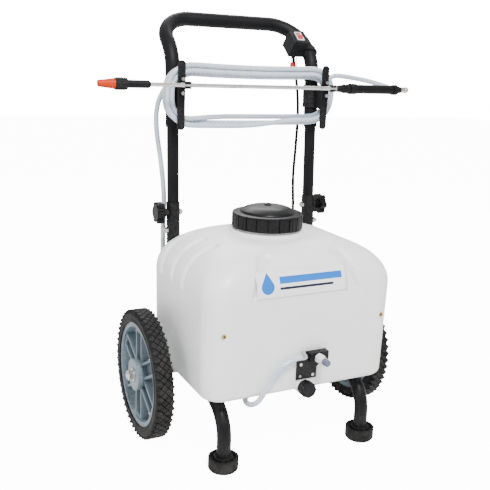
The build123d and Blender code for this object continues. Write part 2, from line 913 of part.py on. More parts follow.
def lance_grip():
    """Stepped trigger-valve body that is held in the hand."""
    body = lance_cone(lance_grip_left, lance_grip_left + 18, 7.5, 10)
    body += along_lance(lance_grip_left + 18, lance_grip_left + 36, lance_grip_radius)
    body += along_lance(lance_grip_left + 36, lance_grip_left + 54, grip_ring_radius)
    body += along_lance(lance_grip_left + 54, lance_grip_right - 24, lance_grip_radius)
    body += along_lance(lance_grip_right - 24, lance_grip_right - 13, grip_ring_radius)
    body += lance_cone(lance_grip_right - 13, lance_grip_right, 10.5, 8)
    lug = (trigger_pivot_x, lance_y + trigger_offset)
    half = trigger_lug_thick / 2
    for z in (lance_z + trigger_lug_z, lance_z - trigger_lug_z):
        body += rod((*lug, z - half), (*lug, z + half), trigger_lug_radius)
        body += block(
            (lug[0] - trigger_lug_radius, lance_y + 8, z - half),
            (lug[0] + trigger_lug_radius, lug[1], z + half),
        )
        body -= rod((*lug, z - 2), (*lug, z + 2), trigger_pin_radius)
    socket = along_lance(lance_grip_left - 1, lance_grip_left + tube_socket, lance_tube_radius)
    return body - socket - along_lance(lance_grip_left, lance_grip_right + 1, grip_passage)


def trigger():
    """Valve lever on the far side of the grip, hinged at its front end."""
    y = lance_y + trigger_offset
    half = trigger_width / 2
    end = trigger_pivot_x + trigger_length
    pivot = (trigger_pivot_x, y)
    lever = rod((*pivot, lance_z - half), (*pivot, lance_z + half), trigger_eye_radius)
    lever += block((trigger_pivot_x, y + 1.5, lance_z - half), (end, y + 4.5, lance_z + half))
    lever += block((end - 16, y + 4, lance_z - half), (end, y + 7, lance_z + half))
    bore = trigger_pin_radius + trigger_pin_clearance
    return lever - rod((trigger_pivot_x, y, lance_z - 9), (trigger_pivot_x, y, lance_z + 9), bore)


def trigger_pin():
    point = (trigger_pivot_x, lance_y + trigger_offset)
    return rod((*point, lance_z - 9.5), (*point, lance_z + 9.5), trigger_pin_radius)


def lance_elbow():
    """Plated swivel elbow that joins the hose to the grip."""
    body = along_lance(lance_grip_right - 8, lance_grip_right, grip_passage)
    body += along_lance(lance_grip_right, elbow_x, elbow_radius)
    body += Pos(elbow_x, lance_y, lance_z) * Sphere(elbow_radius + 1)
    return body + rod((elbow_x, lance_y, lance_z), (elbow_x, lance_y + 13, lance_z), elbow_radius)


# ================================================================= hose and cable

front_hose_route = [
    (-4, -213.5, 249),
    (-24, -213.5, 249),
    (-46, -213.5, 244),
    (-68, -213.5, 231),
    (-87, -213.5, 208),
    (-103, -213.0, 182),
    (-117, -210.0, 158),
    (-127, -194.0, 146),
    (-127, -170.0, 143),
    (-116, -147.0, 140),
    (-98, -128.0, 136),
    (-79, -113.0, 132),
    (-63, -98.0, 128),
    (-56, -79.0, 127),
    (-56, -61.0, 127),
]
riser_route = [
    (-89, -18, 126),
    (-112, -18, 126),
    (-134, -6, 121),
    (-147, 18, 116),
    (-151, 50, 113),
    (-152, 84, 113),
    (-153, 118, 116),
    (-156, 146, 128),
    (-161, 163, 152),
    (-168, 168, 186),
    (-177, 167, 226),
    (-186, 165, 272),
    (-194, 163, 324),
    (-199, 162, 380),
    (-200, 161, 424),
    (-200.5, 161, 462),
    (-200, 160.5, 502),
    (-199, 160, 545),
    (-202, 159, 596),
    (-208, 159, 648),
    (-216, 158, 696),
    (-221, 155, 738),
    (-222, 146, 770),
    (-219, 132, 794),
    (-214, 112, 812),
]
tail_route = [
    (196, 104, 846),
    (232, 106, 848),
    (276, 109, 844),
    (326, 112, 838),
    (375, 112, 829),
    (399, 100, 821),
    (elbow_x, 78, lance_z),
    (elbow_x, lance_y + 13, lance_z),
]
cable_route = [
    in_box(8, 0, -switch_height / 2),
    in_box(9, -1, -switch_height / 2 - 18),
    (161, 184, 864),
    (163, 176, 832),
    (165, 168, 792),
    (166, 163, 744),
    (163, 159, 692),
    (160, 157, 640),
    (157, 156, 594),
    (160, 157, 546),
    (166, 160, 500),
    (164, 163, 452),
    (153, 165, 408),
    (135, 165, 366),
    (112, 165, 326),
    (92, 166, 292),
    (76, 169, 266),
    (64, 169, 244),
    (55, 162, 228),
    (51, 147, 222),
    (51, 127, 222),
]


def corner_radii(route):
    """Largest arc for each corner: 0.45 of the shorter run over the tangent of half the turn."""
    radii = []
    for before, here, after in zip(route, route[1:], route[2:]):
        first = Vector(*here) - Vector(*before)
        second = Vector(*after) - Vector(*here)
        half_turn = radians(first.get_angle(second)) / 2
        radii.append(0.45 * min(first.length, second.length) / tan(half_turn))
    return radii


def cord(name, route, diameter):
    """A round cord along its route of straight runs and arcs."""
    radii = corner_radii(route)
    path = FilletPolyline(*route, radius=radii)
    tube = swept(path, diameter / 2)
    measured = tube.volume / (pi * diameter**2 / 4 * path.length)
    listed = " ".join(f"{radius:.0f}" for radius in radii)
    print(f"{name}: length {path.length:.0f}, volume ratio {measured:.3f}, radii {listed}")
    return tube


def hose_coil():
    """Outer shape of the four turns that hang on the two hooks."""
    height = coil_top - coil_bottom
    middle = (coil_top + coil_bottom) / 2
    rear = Plane(origin=(0, coil_rear, middle), x_dir=(1, 0, 0), z_dir=(0, -1, 0))
    outer = RectangleRounded(2 * coil_half_length, height, coil_end_radius)
    inner = RectangleRounded(
        2 * (coil_half_length - coil_end_thick),
        height - 2 * coil_side_thick,
        coil_end_radius - coil_end_thick,
    )
    return extrude(rear * (outer - inner), amount=coil_rear - coil_front)


def cable_ties():
    """Nylon ties that hold the cable to the grip."""
    ties = []
    grip_radius = handle_radius + grip_thick
    for z in (744.0, 832.0):
        ring = pipe(upright_point(1, z - 2), upright_point(1, z + 2), grip_radius + 1.6, grip_radius)
        ties.append(ring)
    return Compound(ties)


# ================================================================= pump and battery


def battery():
    """Sealed 12 V battery with its lid line and two terminals."""
    x = battery_length / 2
    floor = rail_height + cross_tube_radius + tray_thick
    rear = tray_front + tray_thick + battery_width
    case = block((-x, tray_front + tray_thick, floor), (x, rear, floor + battery_height))
    for sign in (-1, 1):
        case += block(
            (sign * (x - 12) - 3, rear - 14, floor + battery_height),
            (sign * (x - 12) + 3, rear - 8, floor + battery_height + 5),
        )
    return case


def battery_tray():
    """Bent sheet tray on the rear cross tube, with an upturned lip each side."""
    x = battery_length / 2
    floor = rail_height + cross_tube_radius
    rear = tray_front + 2 * tray_thick + battery_width
    tray = block((-x, tray_front, floor), (x, rear, floor + tray_thick))
    for y in (tray_front, rear - tray_thick):
        tray += block((-x, y, floor), (x, y + tray_thick, floor + tray_lip))
    return tray


def battery_strap():
    """Webbing strap over the battery, fixed to the tray lips."""
    floor = rail_height + cross_tube_radius + tray_thick
    top = floor + battery_height
    low_y = tray_front + tray_thick
    high_y = low_y + battery_width
    half = strap_width / 2
    outer = block(
        (-half, low_y - strap_thick, floor + tray_lip - 1),
        (half, high_y + strap_thick, top + strap_thick),
    )
    return outer - block((-half - 1, low_y, floor), (half + 1, high_y, top))


def cable_plug():
    """Plug on the battery end of the cable, seated on the rear of the battery."""
    x, y, z = cable_route[-1]
    rear = tray_front + tray_thick + battery_width
    return block((x - 9, rear, z - 7), (x + 9, y - 2, z + 7)) + rod((x, y - 3, z), (x, y, z), 5)


def pump_bracket():
    """Plate under the tank, welded to the front bar, with the cradle of the pump motor."""
    top = tank_bottom - bar_gap - front_bar_thick
    plate = block((bracket_left, front_bar_y - 12, top - bracket_thick), (bracket_right, axle_y - 10, top))
    for x in (-bolt_x, bolt_x):
        plate -= rod((x, front_bar_y, top - 9), (x, front_bar_y, top + 1), bracket_hole)
    end = pump_head_right + motor_length
    x = end - 30
    saddle = block(
        (x, pump_y - saddle_half_depth, pump_z),
        (x + saddle_width, pump_y + saddle_half_depth, top - 1),
    )
    return plate + saddle - rod((pump_head_right, pump_y, pump_z), (end, pump_y, pump_z), motor_radius)


pump_top = tank_bottom - bar_gap - front_bar_thick - bracket_thick


def pump_head():
    """Diaphragm pump head with its inlet and outlet barbs."""
    half = pump_head_size / 2
    left = pump_head_right - pump_head_size
    head = block((left, pump_y - half, pump_top - 60), (pump_head_right, pump_y + half, pump_top))
    inlet = front_hose_route[-1]
    outlet = riser_route[0]
    head += rod((inlet[0], pump_y, inlet[2]), inlet, port_radius)
    return head + rod((left + 5, outlet[1], outlet[2]), outlet, port_radius)


def pump_motor():
    start = (pump_head_right, pump_y, pump_z)
    end = (pump_head_right + motor_length, pump_y, pump_z)
    motor = rod(start, end, motor_radius)
    return motor + rod(end, (end[0] + 6, pump_y, pump_z), 9)


# ================================================================= regulator


def regulator_plate():
    """Stepped mounting plate screwed to the tank front."""
    outline = [(-21, 192), (31, 192), (31, 218), (53, 235), (53, 257), (0, 257), (0, 238), (-21, 238)]
    face = make_face(Polyline(*[(x, 0, z) for x, z in outline], close=True))
    plate = extrude(face, amount=plate_thick, dir=(0, -1, 0))
    plate = Pos(0, tank_front, 0) * plate
    for x, z in plate_screw_points:
        plate -= rod((x, tank_front + 1, z), (x, tank_front - 9, z), plate_screw_shank)
    return plate


def plate_screws():
    """Pan-head screws of the regulator plate."""
    screws = []
    face = tank_front - plate_thick
    for x, z in plate_screw_points:
        shank = rod((x, tank_front, z), (x, face, z), plate_screw_shank)
        screws.append(shank + rod((x, face, z), (x, face - 1.6, z), plate_screw_radius))
    return Compound(screws)


def pressure_valve():
    """Black valve body on the plate, with the barb for the hose."""
    rear = tank_front - plate_thick
    body = block((valve_left, rear - valve_depth, valve_bottom), (valve_right, rear, valve_top))
    start = front_hose_route[0]
    return body + rod((valve_left + 4, start[1], start[2]), start, barb_radius)


def gauge_fitting():
    """White hexagon and stub that carry the adjusting knob."""
    face = tank_front - plate_thick - valve_depth
    shoulder_y = face - fitting_hex_length
    nut = hexagon((gauge_x, face, gauge_z), (gauge_x, shoulder_y, gauge_z), fitting_flats)
    end = face - fitting_length
    return nut + rod((gauge_x, shoulder_y, gauge_z), (gauge_x, end, gauge_z), fitting_radius)


def regulator_knob():
    """Dark adjusting knob at the end of the fitting, with a pointer flat."""
    start = tank_front - plate_thick - valve_depth - fitting_length - dial_gap
    knob_body = rod((gauge_x, start, gauge_z), (gauge_x, gauge_tip, gauge_z), dial_radius)
    flat = block((gauge_x - 9, gauge_tip - 1, gauge_z + 6), (gauge_x + 9, start - 2, gauge_z + 9))
    return knob_body - flat


def hose_clamps():
    """Worm-drive clamps with their screw housings: at the valve and at the pump outlet."""
    radius = hose_diameter / 2
    outer = radius + clamp_band_thick
    bands = []
    for x, y, z in (front_hose_route[0], riser_route[0]):
        near = x - clamp_start
        bands.append(pipe((near - clamp_width, y, z), (near, y, z), outer, radius))
    x, y, z = front_hose_route[0]
    bands[0] += block((x - 10, y - 4, z + radius + 0.4), (x - 4, y + 4, z + radius + 7))
    return Compound(bands)


# ================================================================= write the pieces


def main():
    os.makedirs("parts", exist_ok=True)
    for name, side in sides.items():
        save(f"side_rail_{name}", side_rail(side))
        save(f"wheel_{name}", on_axle(wheel_rim(), side))
        save(f"tyre_{name}", on_axle(tyre(), side))
        save(f"wheel_bush_{name}", on_axle(wheel_bush(), side))
        save(f"hose_hook_{name}", hose_hook(side))
        save(f"knob_{name}", Compound([knob(side), knob_stud(side)]))
    save("cross_members", Compound([rear_cross_tube(), front_cross_bar()]))
    save("rubber_feet", Compound([rubber_foot(side) for side in sides.values()]))
    save("welded_bosses", Compound(foot_collars() + socket_bosses()))
    save("frame_bolts", Compound(stop_screws() + tank_bolts()))
    save("axle", axle())
    save("axle_fittings", Compound(axle_spacers() + axle_washers() + axle_nuts()))
    save("tank", tank())
    save("boom_inserts", boom_inserts())
    save("drain_cap", drain_cap())
    save("drain_gasket", drain_gasket())
    save("strainer", strainer())
    save("lid", lid())
    save("lid_gasket", lid_gasket())
    save("handle_tube", handle_tube())
    save("grip", grip())
    save("lance_clips", Compound([lance_clip(side) for side in sides.values()]))
    save("hook_screws", hook_screws())
    save("switch_box", switch_box())
    save("switch_bezel", switch_bezel())
    save("switch_rocker", switch_rocker())
    save("switch_clip", switch_clip())
    save("lance_tube", lance_tube())
    save("lance_collar", lance_collar())
    save("nozzle_nut", nozzle_nut())
    save("nozzle_tip", nozzle_tip())
    save("lance_grip", lance_grip())
    save("trigger", trigger())
    save("trigger_pin", trigger_pin())
    save("lance_elbow", lance_elbow())
    coil = hose_coil()
    save("hose_coil", coil)
    save("front_hose", cord("front_hose", front_hose_route, hose_diameter))
    save("hose_riser", cord("hose_riser", riser_route, hose_diameter) - coil)
    save("hose_tail", cord("hose_tail", tail_route, hose_diameter) - coil)
    save("power_cable", cord("power_cable", cable_route, cable_diameter))
    save("cable_ties", cable_ties())
    save("battery", battery())
    save("battery_tray", battery_tray())
    save("battery_strap", battery_strap())
    save("cable_plug", cable_plug())
    save("pump_bracket", pump_bracket())
    save("pump_head", pump_head())
    save("pump_motor", pump_motor())
    save("regulator_plate", regulator_plate())
    save("plate_screws", plate_screws())
    save("pressure_valve", pressure_valve())
    save("gauge_fitting", gauge_fitting())
    save("regulator_knob", regulator_knob())
    save("hose_clamps", hose_clamps())


main()
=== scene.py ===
# Wheeled sprayer cart. Metres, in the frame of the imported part: +Z up, -Y the front.
import json
from math import atan2, cos, hypot, pi, radians, sin, tan

import bmesh
import bpy
from mathutils import Matrix, Vector


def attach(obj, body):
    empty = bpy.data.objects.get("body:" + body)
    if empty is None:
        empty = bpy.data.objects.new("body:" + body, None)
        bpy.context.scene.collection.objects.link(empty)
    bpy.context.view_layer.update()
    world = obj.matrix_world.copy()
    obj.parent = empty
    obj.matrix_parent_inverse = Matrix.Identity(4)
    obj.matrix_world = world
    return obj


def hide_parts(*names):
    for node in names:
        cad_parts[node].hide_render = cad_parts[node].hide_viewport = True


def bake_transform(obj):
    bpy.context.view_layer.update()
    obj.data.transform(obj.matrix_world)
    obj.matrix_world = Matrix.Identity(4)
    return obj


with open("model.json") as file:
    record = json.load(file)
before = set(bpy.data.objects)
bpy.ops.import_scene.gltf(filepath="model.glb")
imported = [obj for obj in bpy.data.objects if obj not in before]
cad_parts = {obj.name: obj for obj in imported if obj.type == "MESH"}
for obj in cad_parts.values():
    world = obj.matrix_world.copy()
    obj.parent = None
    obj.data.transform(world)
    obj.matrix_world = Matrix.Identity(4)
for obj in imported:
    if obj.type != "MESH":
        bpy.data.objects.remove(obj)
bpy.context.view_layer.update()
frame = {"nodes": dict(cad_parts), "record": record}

# ---- driving sizes, the same as in the part's source
rail_radius = 0.016
upright_x = 0.1885
upright_lean = 0.055
upright_y = 0.1306
upright_level = 0.6
rail_height = 0.148
rail_bend = 0.08
channel_gap = 0.002
axle_y = 0.0388
axle_z = 0.1524
wheel_plane_x = 0.29
wheel_radius = 0.1524
tyre_seat_radius = 0.122
rim_flange_radius = 0.1265

tank_half_width = 0.237
tank_draft = 0.004
tank_front = -0.2025
tank_rear = 0.146
tank_bottom = 0.164
tank_shoulder_height = 0.388
tank_wall = 0.0085  # thicker than the part's own wall, which the grooves would cut through
groove_sink = 0.0066
groove_half_width = 0.0125
groove_places_y = (0.069, 0.004, -0.061)
groove_start = 0.0065
groove_end = 0.122
flute_sink = 0.0062
flute_start = -0.004
flute_end = 0.1
flute_low_x = 0.137
flute_high_x = 0.092
side_band = 0.02
tank_corner = 0.048
tank_bottom_round = 0.014
shoulder_radius = 0.085
crown_radius = 0.19
shoulder_share = radians(61)
crown_share = radians(88)
front_shoulder = 0.8
rear_shoulder = 0.45
battery_recess_half = 0.0795
battery_recess_front = 0.045
battery_recess_top = 0.2645

neck_radius = 0.074
neck_bore = 0.066
neck_top = 0.52
neck_flange_radius = 0.09
neck_flange_height = 0.492
drain_height = 0.174
drain_boss_radius = 0.018
drain_spout_radius = 0.013
drain_bore = 0.009
insert_x = 0.2
insert_z = 0.318

hose_diameter = 0.012
cable_diameter = 0.0075
coil_half_length = 0.227
coil_middle_z = 0.793
coil_half_height = 0.075
coil_corner = 0.062


# ================================================================ shader groups


def new_group(name, inputs, outputs):
    """Empty shader node group with named sockets; returns it with its two end nodes."""
    group = bpy.data.node_groups.new(name, "ShaderNodeTree")
    for socket_name, kind, value in inputs:
        socket = group.interface.new_socket(socket_name, in_out="INPUT", socket_type="NodeSocket" + kind)
        if value is not None:
            socket.default_value = value
    for socket_name, kind in outputs:
        group.interface.new_socket(socket_name, in_out="OUTPUT", socket_type="NodeSocket" + kind)
    return group, group.nodes.new("NodeGroupInput"), group.nodes.new("NodeGroupOutput")


def noise(tree, vector, scale, detail=4.0, rough=0.6):
    """Noise texture on a vector; scale is a number or a socket."""
    node = tree.nodes.new("ShaderNodeTexNoise")
    node.inputs["Detail"].default_value = detail
    node.inputs["Roughness"].default_value = rough
    tree.links.new(vector, node.inputs["Vector"])
    if isinstance(scale, (int, float)):
        node.inputs["Scale"].default_value = scale
    else:
        tree.links.new(scale, node.inputs["Scale"])
    return node.outputs["Fac"]


def math(tree, operation, first, second=None, clamp=False):
    """Math node of a shader or geometry tree, whose inputs are sockets or numbers."""
    node = tree.nodes.new("ShaderNodeMath")
    node.operation = operation
    node.use_clamp = clamp
    for index, value in enumerate((first, second)):
        if isinstance(value, (int, float)):
            node.inputs[index].default_value = value
        elif value is not None:
            tree.links.new(value, node.inputs[index])
    return node.outputs[0]


def remap(tree, value, low, high, to_low=0.0, to_high=1.0):
    """Map Range node, clamped; the four limits are numbers or sockets."""
    node = tree.nodes.new("ShaderNodeMapRange")
    tree.links.new(value, node.inputs["Value"])
    limits = (("From Min", low), ("From Max", high), ("To Min", to_low), ("To Max", to_high))
    for name, limit in limits:
        if isinstance(limit, (int, float)):
            node.inputs[name].default_value = limit
        else:
            tree.links.new(limit, node.inputs[name])
    return node.outputs["Result"]


def mix_colour(tree, factor, first, second):
    """Mix node on colours; each colour is a socket or four numbers."""
    node = tree.nodes.new("ShaderNodeMix")
    node.data_type = "RGBA"
    tree.links.new(factor, node.inputs[0])
    for index, value in ((6, first), (7, second)):
        if isinstance(value, tuple):
            node.inputs[index].default_value = value
        else:
            tree.links.new(value, node.inputs[index])
    return node.outputs[2]


def mottle_group():
    """Two colours that drift into each other, with a finer speckle on top."""
    group, start, end = new_group(
        "mottle",
        [("Vector", "Vector", None), ("Colour", "Color", None),
         ("Second Colour", "Color", None), ("Scale", "Float", 12.0)],
        [("Colour", "Color")],
    )
    broad = noise(group, start.outputs["Vector"], start.outputs["Scale"], 3.0)
    fine = noise(group, start.outputs["Vector"], math(group, "MULTIPLY", start.outputs["Scale"], 17.0),
                 2.0)
    both = math(group, "ADD", math(group, "MULTIPLY", broad, 0.75), math(group, "MULTIPLY", fine, 0.25))
    mask = remap(group, both, 0.36, 0.64)
    colour = mix_colour(group, mask, start.outputs["Colour"], start.outputs["Second Colour"])
    group.links.new(colour, end.inputs["Colour"])
    return group


def grain_group():
    """Fine moulded or cast texture as a height."""
    group, start, end = new_group(
        "grain",
        [("Vector", "Vector", None), ("Scale", "Float", 900.0)],
        [("Height", "Float")],
    )
    cells = group.nodes.new("ShaderNodeTexVoronoi")
    group.links.new(start.outputs["Vector"], cells.inputs["Vector"])
    group.links.new(start.outputs["Scale"], cells.inputs["Scale"])
    soft = noise(group, start.outputs["Vector"], math(group, "MULTIPLY", start.outputs["Scale"], 0.6),
                 3.0)
    height = math(group, "ADD", math(group, "MULTIPLY", cells.outputs["Distance"], 0.5), soft)
    group.links.new(height, end.inputs["Height"])
    return group


def scuff_group():
    """Roughness that varies with handling marks."""
    group, start, end = new_group(
        "scuffs",
        [("Vector", "Vector", None), ("Smooth", "Float", 0.3),
         ("Rough", "Float", 0.5), ("Scale", "Float", 30.0)],
        [("Roughness", "Float")],
    )
    stretch = group.nodes.new("ShaderNodeMapping")
    stretch.inputs["Scale"].default_value = (1.0, 7.0, 0.6)
    stretch.inputs["Rotation"].default_value = (0.3, 0.5, 0.9)
    group.links.new(start.outputs["Vector"], stretch.inputs["Vector"])
    marks = noise(group, stretch.outputs["Vector"], start.outputs["Scale"], 6.0, 0.7)
    smears = noise(group, start.outputs["Vector"],
                   math(group, "MULTIPLY", start.outputs["Scale"], 0.35), 3.0)
    both = math(group, "MULTIPLY", marks, math(group, "ADD", smears, 0.5))
    rough = remap(group, both, 0.3, 0.7, start.outputs["Smooth"], start.outputs["Rough"])
    group.links.new(rough, end.inputs["Roughness"])
    return group


def dust_group():
    """Pale dust near the floor and in soft patches, over any colour."""
    group, start, end = new_group(
        "dust",
        [("Vector", "Vector", None), ("Colour", "Color", None),
         ("Dust Colour", "Color", (0.42, 0.38, 0.33, 1.0)), ("Amount", "Float", 0.3),
         ("Top", "Float", 0.35)],
        [("Colour", "Color")],
    )
    split = group.nodes.new("ShaderNodeSeparateXYZ")
    group.links.new(start.outputs["Vector"], split.inputs[0])
    low = remap(group, split.outputs["Z"], start.outputs["Top"], 0.0)
    patches = remap(group, noise(group, start.outputs["Vector"], 38.0, 6.0, 0.7), 0.45, 0.75)
    mask = math(group, "MULTIPLY", math(group, "MULTIPLY", low, patches), start.outputs["Amount"], True)
    colour = mix_colour(group, mask, start.outputs["Colour"], start.outputs["Dust Colour"])
    group.links.new(colour, end.inputs["Colour"])
    return group


def edge_group():
    """Wear where the surface turns a sharp outer edge."""
    group, start, end = new_group(
        "edge wear",
        [("Vector", "Vector", None), ("Colour", "Color", None),
         ("Worn Colour", "Color", None), ("Amount", "Float", 0.5)],
        [("Colour", "Color")],
    )
    surface = group.nodes.new("ShaderNodeNewGeometry")
    edge = remap(group, surface.outputs["Pointiness"], 0.53, 0.62)
    broken = remap(group, noise(group, start.outputs["Vector"], 210.0, 5.0, 0.7), 0.42, 0.62)
    mask = math(group, "MULTIPLY", math(group, "MULTIPLY", edge, broken), start.outputs["Amount"], True)
    colour = mix_colour(group, mask, start.outputs["Colour"], start.outputs["Worn Colour"])
    group.links.new(colour, end.inputs["Colour"])
    return group


def braid_group():
    """Two crossing sets of threads on a tube whose UV is metres along and share around."""
    group, start, end = new_group(
        "braid",
        [("UV", "Vector", None), ("Pitch", "Float", 0.009), ("Threads", "Float", 6.0)],
        [("Mask", "Float")],
    )
    split = group.nodes.new("ShaderNodeSeparateXYZ")
    group.links.new(start.outputs["UV"], split.inputs[0])
    along = math(group, "DIVIDE", split.outputs["X"], start.outputs["Pitch"])
    around = math(group, "MULTIPLY", split.outputs["Y"], start.outputs["Threads"])
    threads = []
    for operation in ("ADD", "SUBTRACT"):
        turn = math(group, "FRACT", math(group, operation, along, around))
        from_middle = math(group, "ABSOLUTE", math(group, "SUBTRACT", turn, 0.5))
        threads.append(remap(group, from_middle, 0.16, 0.05))
    group.links.new(math(group, "MAXIMUM", *threads), end.inputs["Mask"])
    return group


def weave_group():
    """Plain webbing: ribs across and threads along, as a height."""
    group, start, end = new_group(
        "webbing weave",
        [("Vector", "Vector", None), ("Scale", "Float", 420.0)],
        [("Height", "Float")],
    )
    waves = []
    for direction in ("X", "Z"):
        wave = group.nodes.new("ShaderNodeTexWave")
        wave.bands_direction = direction
        wave.inputs["Distortion"].default_value = 0.6
        group.links.new(start.outputs["Vector"], wave.inputs["Vector"])
        group.links.new(start.outputs["Scale"], wave.inputs["Scale"])
        waves.append(wave.outputs["Fac"])
    group.links.new(math(group, "MAXIMUM", *waves), end.inputs["Height"])
    return group


mottle = mottle_group()
grain = grain_group()
scuffs = scuff_group()
dust = dust_group()
edge_wear = edge_group()
braid = braid_group()
weave = weave_group()


# ================================================================ materials


def rgba(colour):
    return (colour[0], colour[1], colour[2], 1.0)


def place(tree, group, **values):
    """Put a shader group in a material and set or link its inputs."""
    node = tree.nodes.new("ShaderNodeGroup")
    node.node_tree = group
    for name, value in values.items():
        socket = node.inputs[name.replace("_", " ")]
        if isinstance(value, bpy.types.NodeSocket):
            tree.links.new(value, socket)
        else:
            socket.default_value = value
    return node


def empty_material(name):
    material = bpy.data.materials.new(name)
    material.use_nodes = True
    tree = material.node_tree
    shader = tree.nodes["Principled BSDF"]
    where = tree.nodes.new("ShaderNodeTexCoord")
    return material, tree, shader, where


def raise_surface(tree, shader, height, strength, depth):
    """Bump from a height; depth is in metres."""
    bump = tree.nodes.new("ShaderNodeBump")
    bump.inputs["Strength"].default_value = strength
    bump.inputs["Distance"].default_value = depth
    tree.links.new(height, bump.inputs["Height"])
    tree.links.new(bump.outputs["Normal"], shader.inputs["Normal"])


def finish(name, colour, second, smooth, rough, *, metal=0.0, drift=14.0, grain_scale=1100.0,
           grain_depth=0.0001, grain_strength=0.35, worn=None, wear=0.0, dusty=0.0, dust_top=0.4,
           coat=0.0, marks=35.0, subsurface=0.0, shine=0.5):
    """Material of one moulded, painted or machined finish."""
    material, tree, shader, where = empty_material(name)
    point = where.outputs["Object"]
    last = place(tree, mottle, Vector=point, Colour=rgba(colour), Second_Colour=rgba(second), Scale=drift)
    if worn:
        last = place(tree, edge_wear, Vector=point, Colour=last.outputs["Colour"],
                     Worn_Colour=rgba(worn), Amount=wear)
    if dusty:
        last = place(tree, dust, Vector=point, Colour=last.outputs["Colour"], Amount=dusty, Top=dust_top)
    tree.links.new(last.outputs["Colour"], shader.inputs["Base Color"])
    marked = place(tree, scuffs, Vector=point, Smooth=smooth, Rough=rough, Scale=marks)
    tree.links.new(marked.outputs["Roughness"], shader.inputs["Roughness"])
    fine = place(tree, grain, Vector=point, Scale=grain_scale)
    raise_surface(tree, shader, fine.outputs["Height"], grain_strength, grain_depth)
    shader.inputs["Metallic"].default_value = metal
    shader.inputs["Coat Weight"].default_value = coat
    shader.inputs["Coat Roughness"].default_value = 0.2
    shader.inputs["Specular IOR Level"].default_value = shine
    if subsurface:
        shader.inputs["Subsurface Weight"].default_value = subsurface
        shader.inputs["Subsurface Radius"].default_value = (1.0, 0.95, 0.9)
        shader.inputs["Subsurface Scale"].default_value = 0.02
    return material


def hose_finish():
    """Clear PVC hose: bluish wall with pale reinforcing threads under a glossy skin."""
    material, tree, shader, where = empty_material("clear_braided_hose")
    threads = place(tree, braid, UV=where.outputs["UV"], Pitch=0.0105, Threads=5.0)
    wall = place(tree, mottle, Vector=where.outputs["Object"], Colour=(0.36, 0.42, 0.52, 1.0),
                 Second_Colour=(0.47, 0.53, 0.61, 1.0), Scale=22.0)
    shaded = mix_colour(tree, threads.outputs["Mask"], wall.outputs["Colour"], (0.62, 0.68, 0.75, 1.0))
    tree.links.new(shaded, shader.inputs["Base Color"])
    marked = place(tree, scuffs, Vector=where.outputs["Object"], Smooth=0.16, Rough=0.34, Scale=60.0)
    tree.links.new(marked.outputs["Roughness"], shader.inputs["Roughness"])
    raise_surface(tree, shader, threads.outputs["Mask"], 0.25, 0.0002)
    shader.inputs["Subsurface Weight"].default_value = 0.25
    shader.inputs["Subsurface Scale"].default_value = 0.006
    shader.inputs["Coat Weight"].default_value = 0.6
    shader.inputs["Coat Roughness"].default_value = 0.12
    return material


def webbing_finish():
    material, tree, shader, where = empty_material("strap_webbing")
    threads = place(tree, weave, Vector=where.outputs["Object"], Scale=380.0)
    cloth = place(tree, mottle, Vector=where.outputs["Object"], Colour=(0.018, 0.018, 0.02, 1.0),
                  Second_Colour=(0.035, 0.035, 0.038, 1.0), Scale=90.0)
    tree.links.new(cloth.outputs["Colour"], shader.inputs["Base Color"])
    raise_surface(tree, shader, threads.outputs["Height"], 0.7, 0.0004)
    shader.inputs["Roughness"].default_value = 0.85
    shader.inputs["Sheen Weight"].default_value = 0.3
    return material


def inside(tree, value, low, high):
    """1 where the value lies between two limits."""
    above = math(tree, "GREATER_THAN", value, low)
    return math(tree, "MULTIPLY", above, math(tree, "LESS_THAN", value, high))


def label_finish():
    """Plain film label: a blue drop and two stripes, with no lettering. UV is in metres."""
    material, tree, shader, where = empty_material("label_print")
    split = tree.nodes.new("ShaderNodeSeparateXYZ")
    tree.links.new(where.outputs["UV"], split.inputs[0])
    along, up = split.outputs["X"], split.outputs["Y"]
    drop_x, drop_y, drop_radius = 0.027, 0.025, 0.0155
    off_x = math(tree, "SUBTRACT", along, drop_x)
    off_y = math(tree, "SUBTRACT", up, drop_y)
    away = math(tree, "SQRT", math(tree, "ADD", math(tree, "POWER", off_x, 2.0), math(tree, "POWER",
                                                                                      off_y, 2.0)))
    ball = math(tree, "LESS_THAN", away, drop_radius)
    side = math(tree, "ADD", math(tree, "ABSOLUTE", off_x), math(tree, "MULTIPLY", off_y, 0.52))
    tip = math(tree, "MULTIPLY", math(tree, "LESS_THAN", side, 0.0176), inside(tree, off_y, 0.007, 0.034))
    drop = math(tree, "MAXIMUM", ball, tip)
    blue_bar = math(tree, "MULTIPLY", inside(tree, along, 0.056, 0.213), inside(tree, up, 0.030, 0.046))
    dark_bar = math(tree, "MULTIPLY", inside(tree, along, 0.056, 0.190), inside(tree, up, 0.017, 0.0225))
    film = place(tree, mottle, Vector=where.outputs["Object"], Colour=(0.80, 0.81, 0.81, 1.0),
                 Second_Colour=(0.84, 0.84, 0.84, 1.0), Scale=15.0)
    blue = mix_colour(tree, math(tree, "MAXIMUM", drop, blue_bar), film.outputs["Colour"],
                      (0.0, 0.13, 0.52, 1.0))
    printed = mix_colour(tree, dark_bar, blue, (0.003, 0.006, 0.025, 1.0))
    tree.links.new(printed, shader.inputs["Base Color"])
    marked = place(tree, scuffs, Vector=where.outputs["Object"], Smooth=0.28, Rough=0.42, Scale=40.0)
    tree.links.new(marked.outputs["Roughness"], shader.inputs["Roughness"])
    return material


def dull(name, colour, second, smooth, rough, **more):
    """Finish whose highlights stay low, for the blacks and the orange tip."""
    return finish(name, colour, second, smooth, rough, shine=0.14, **more)


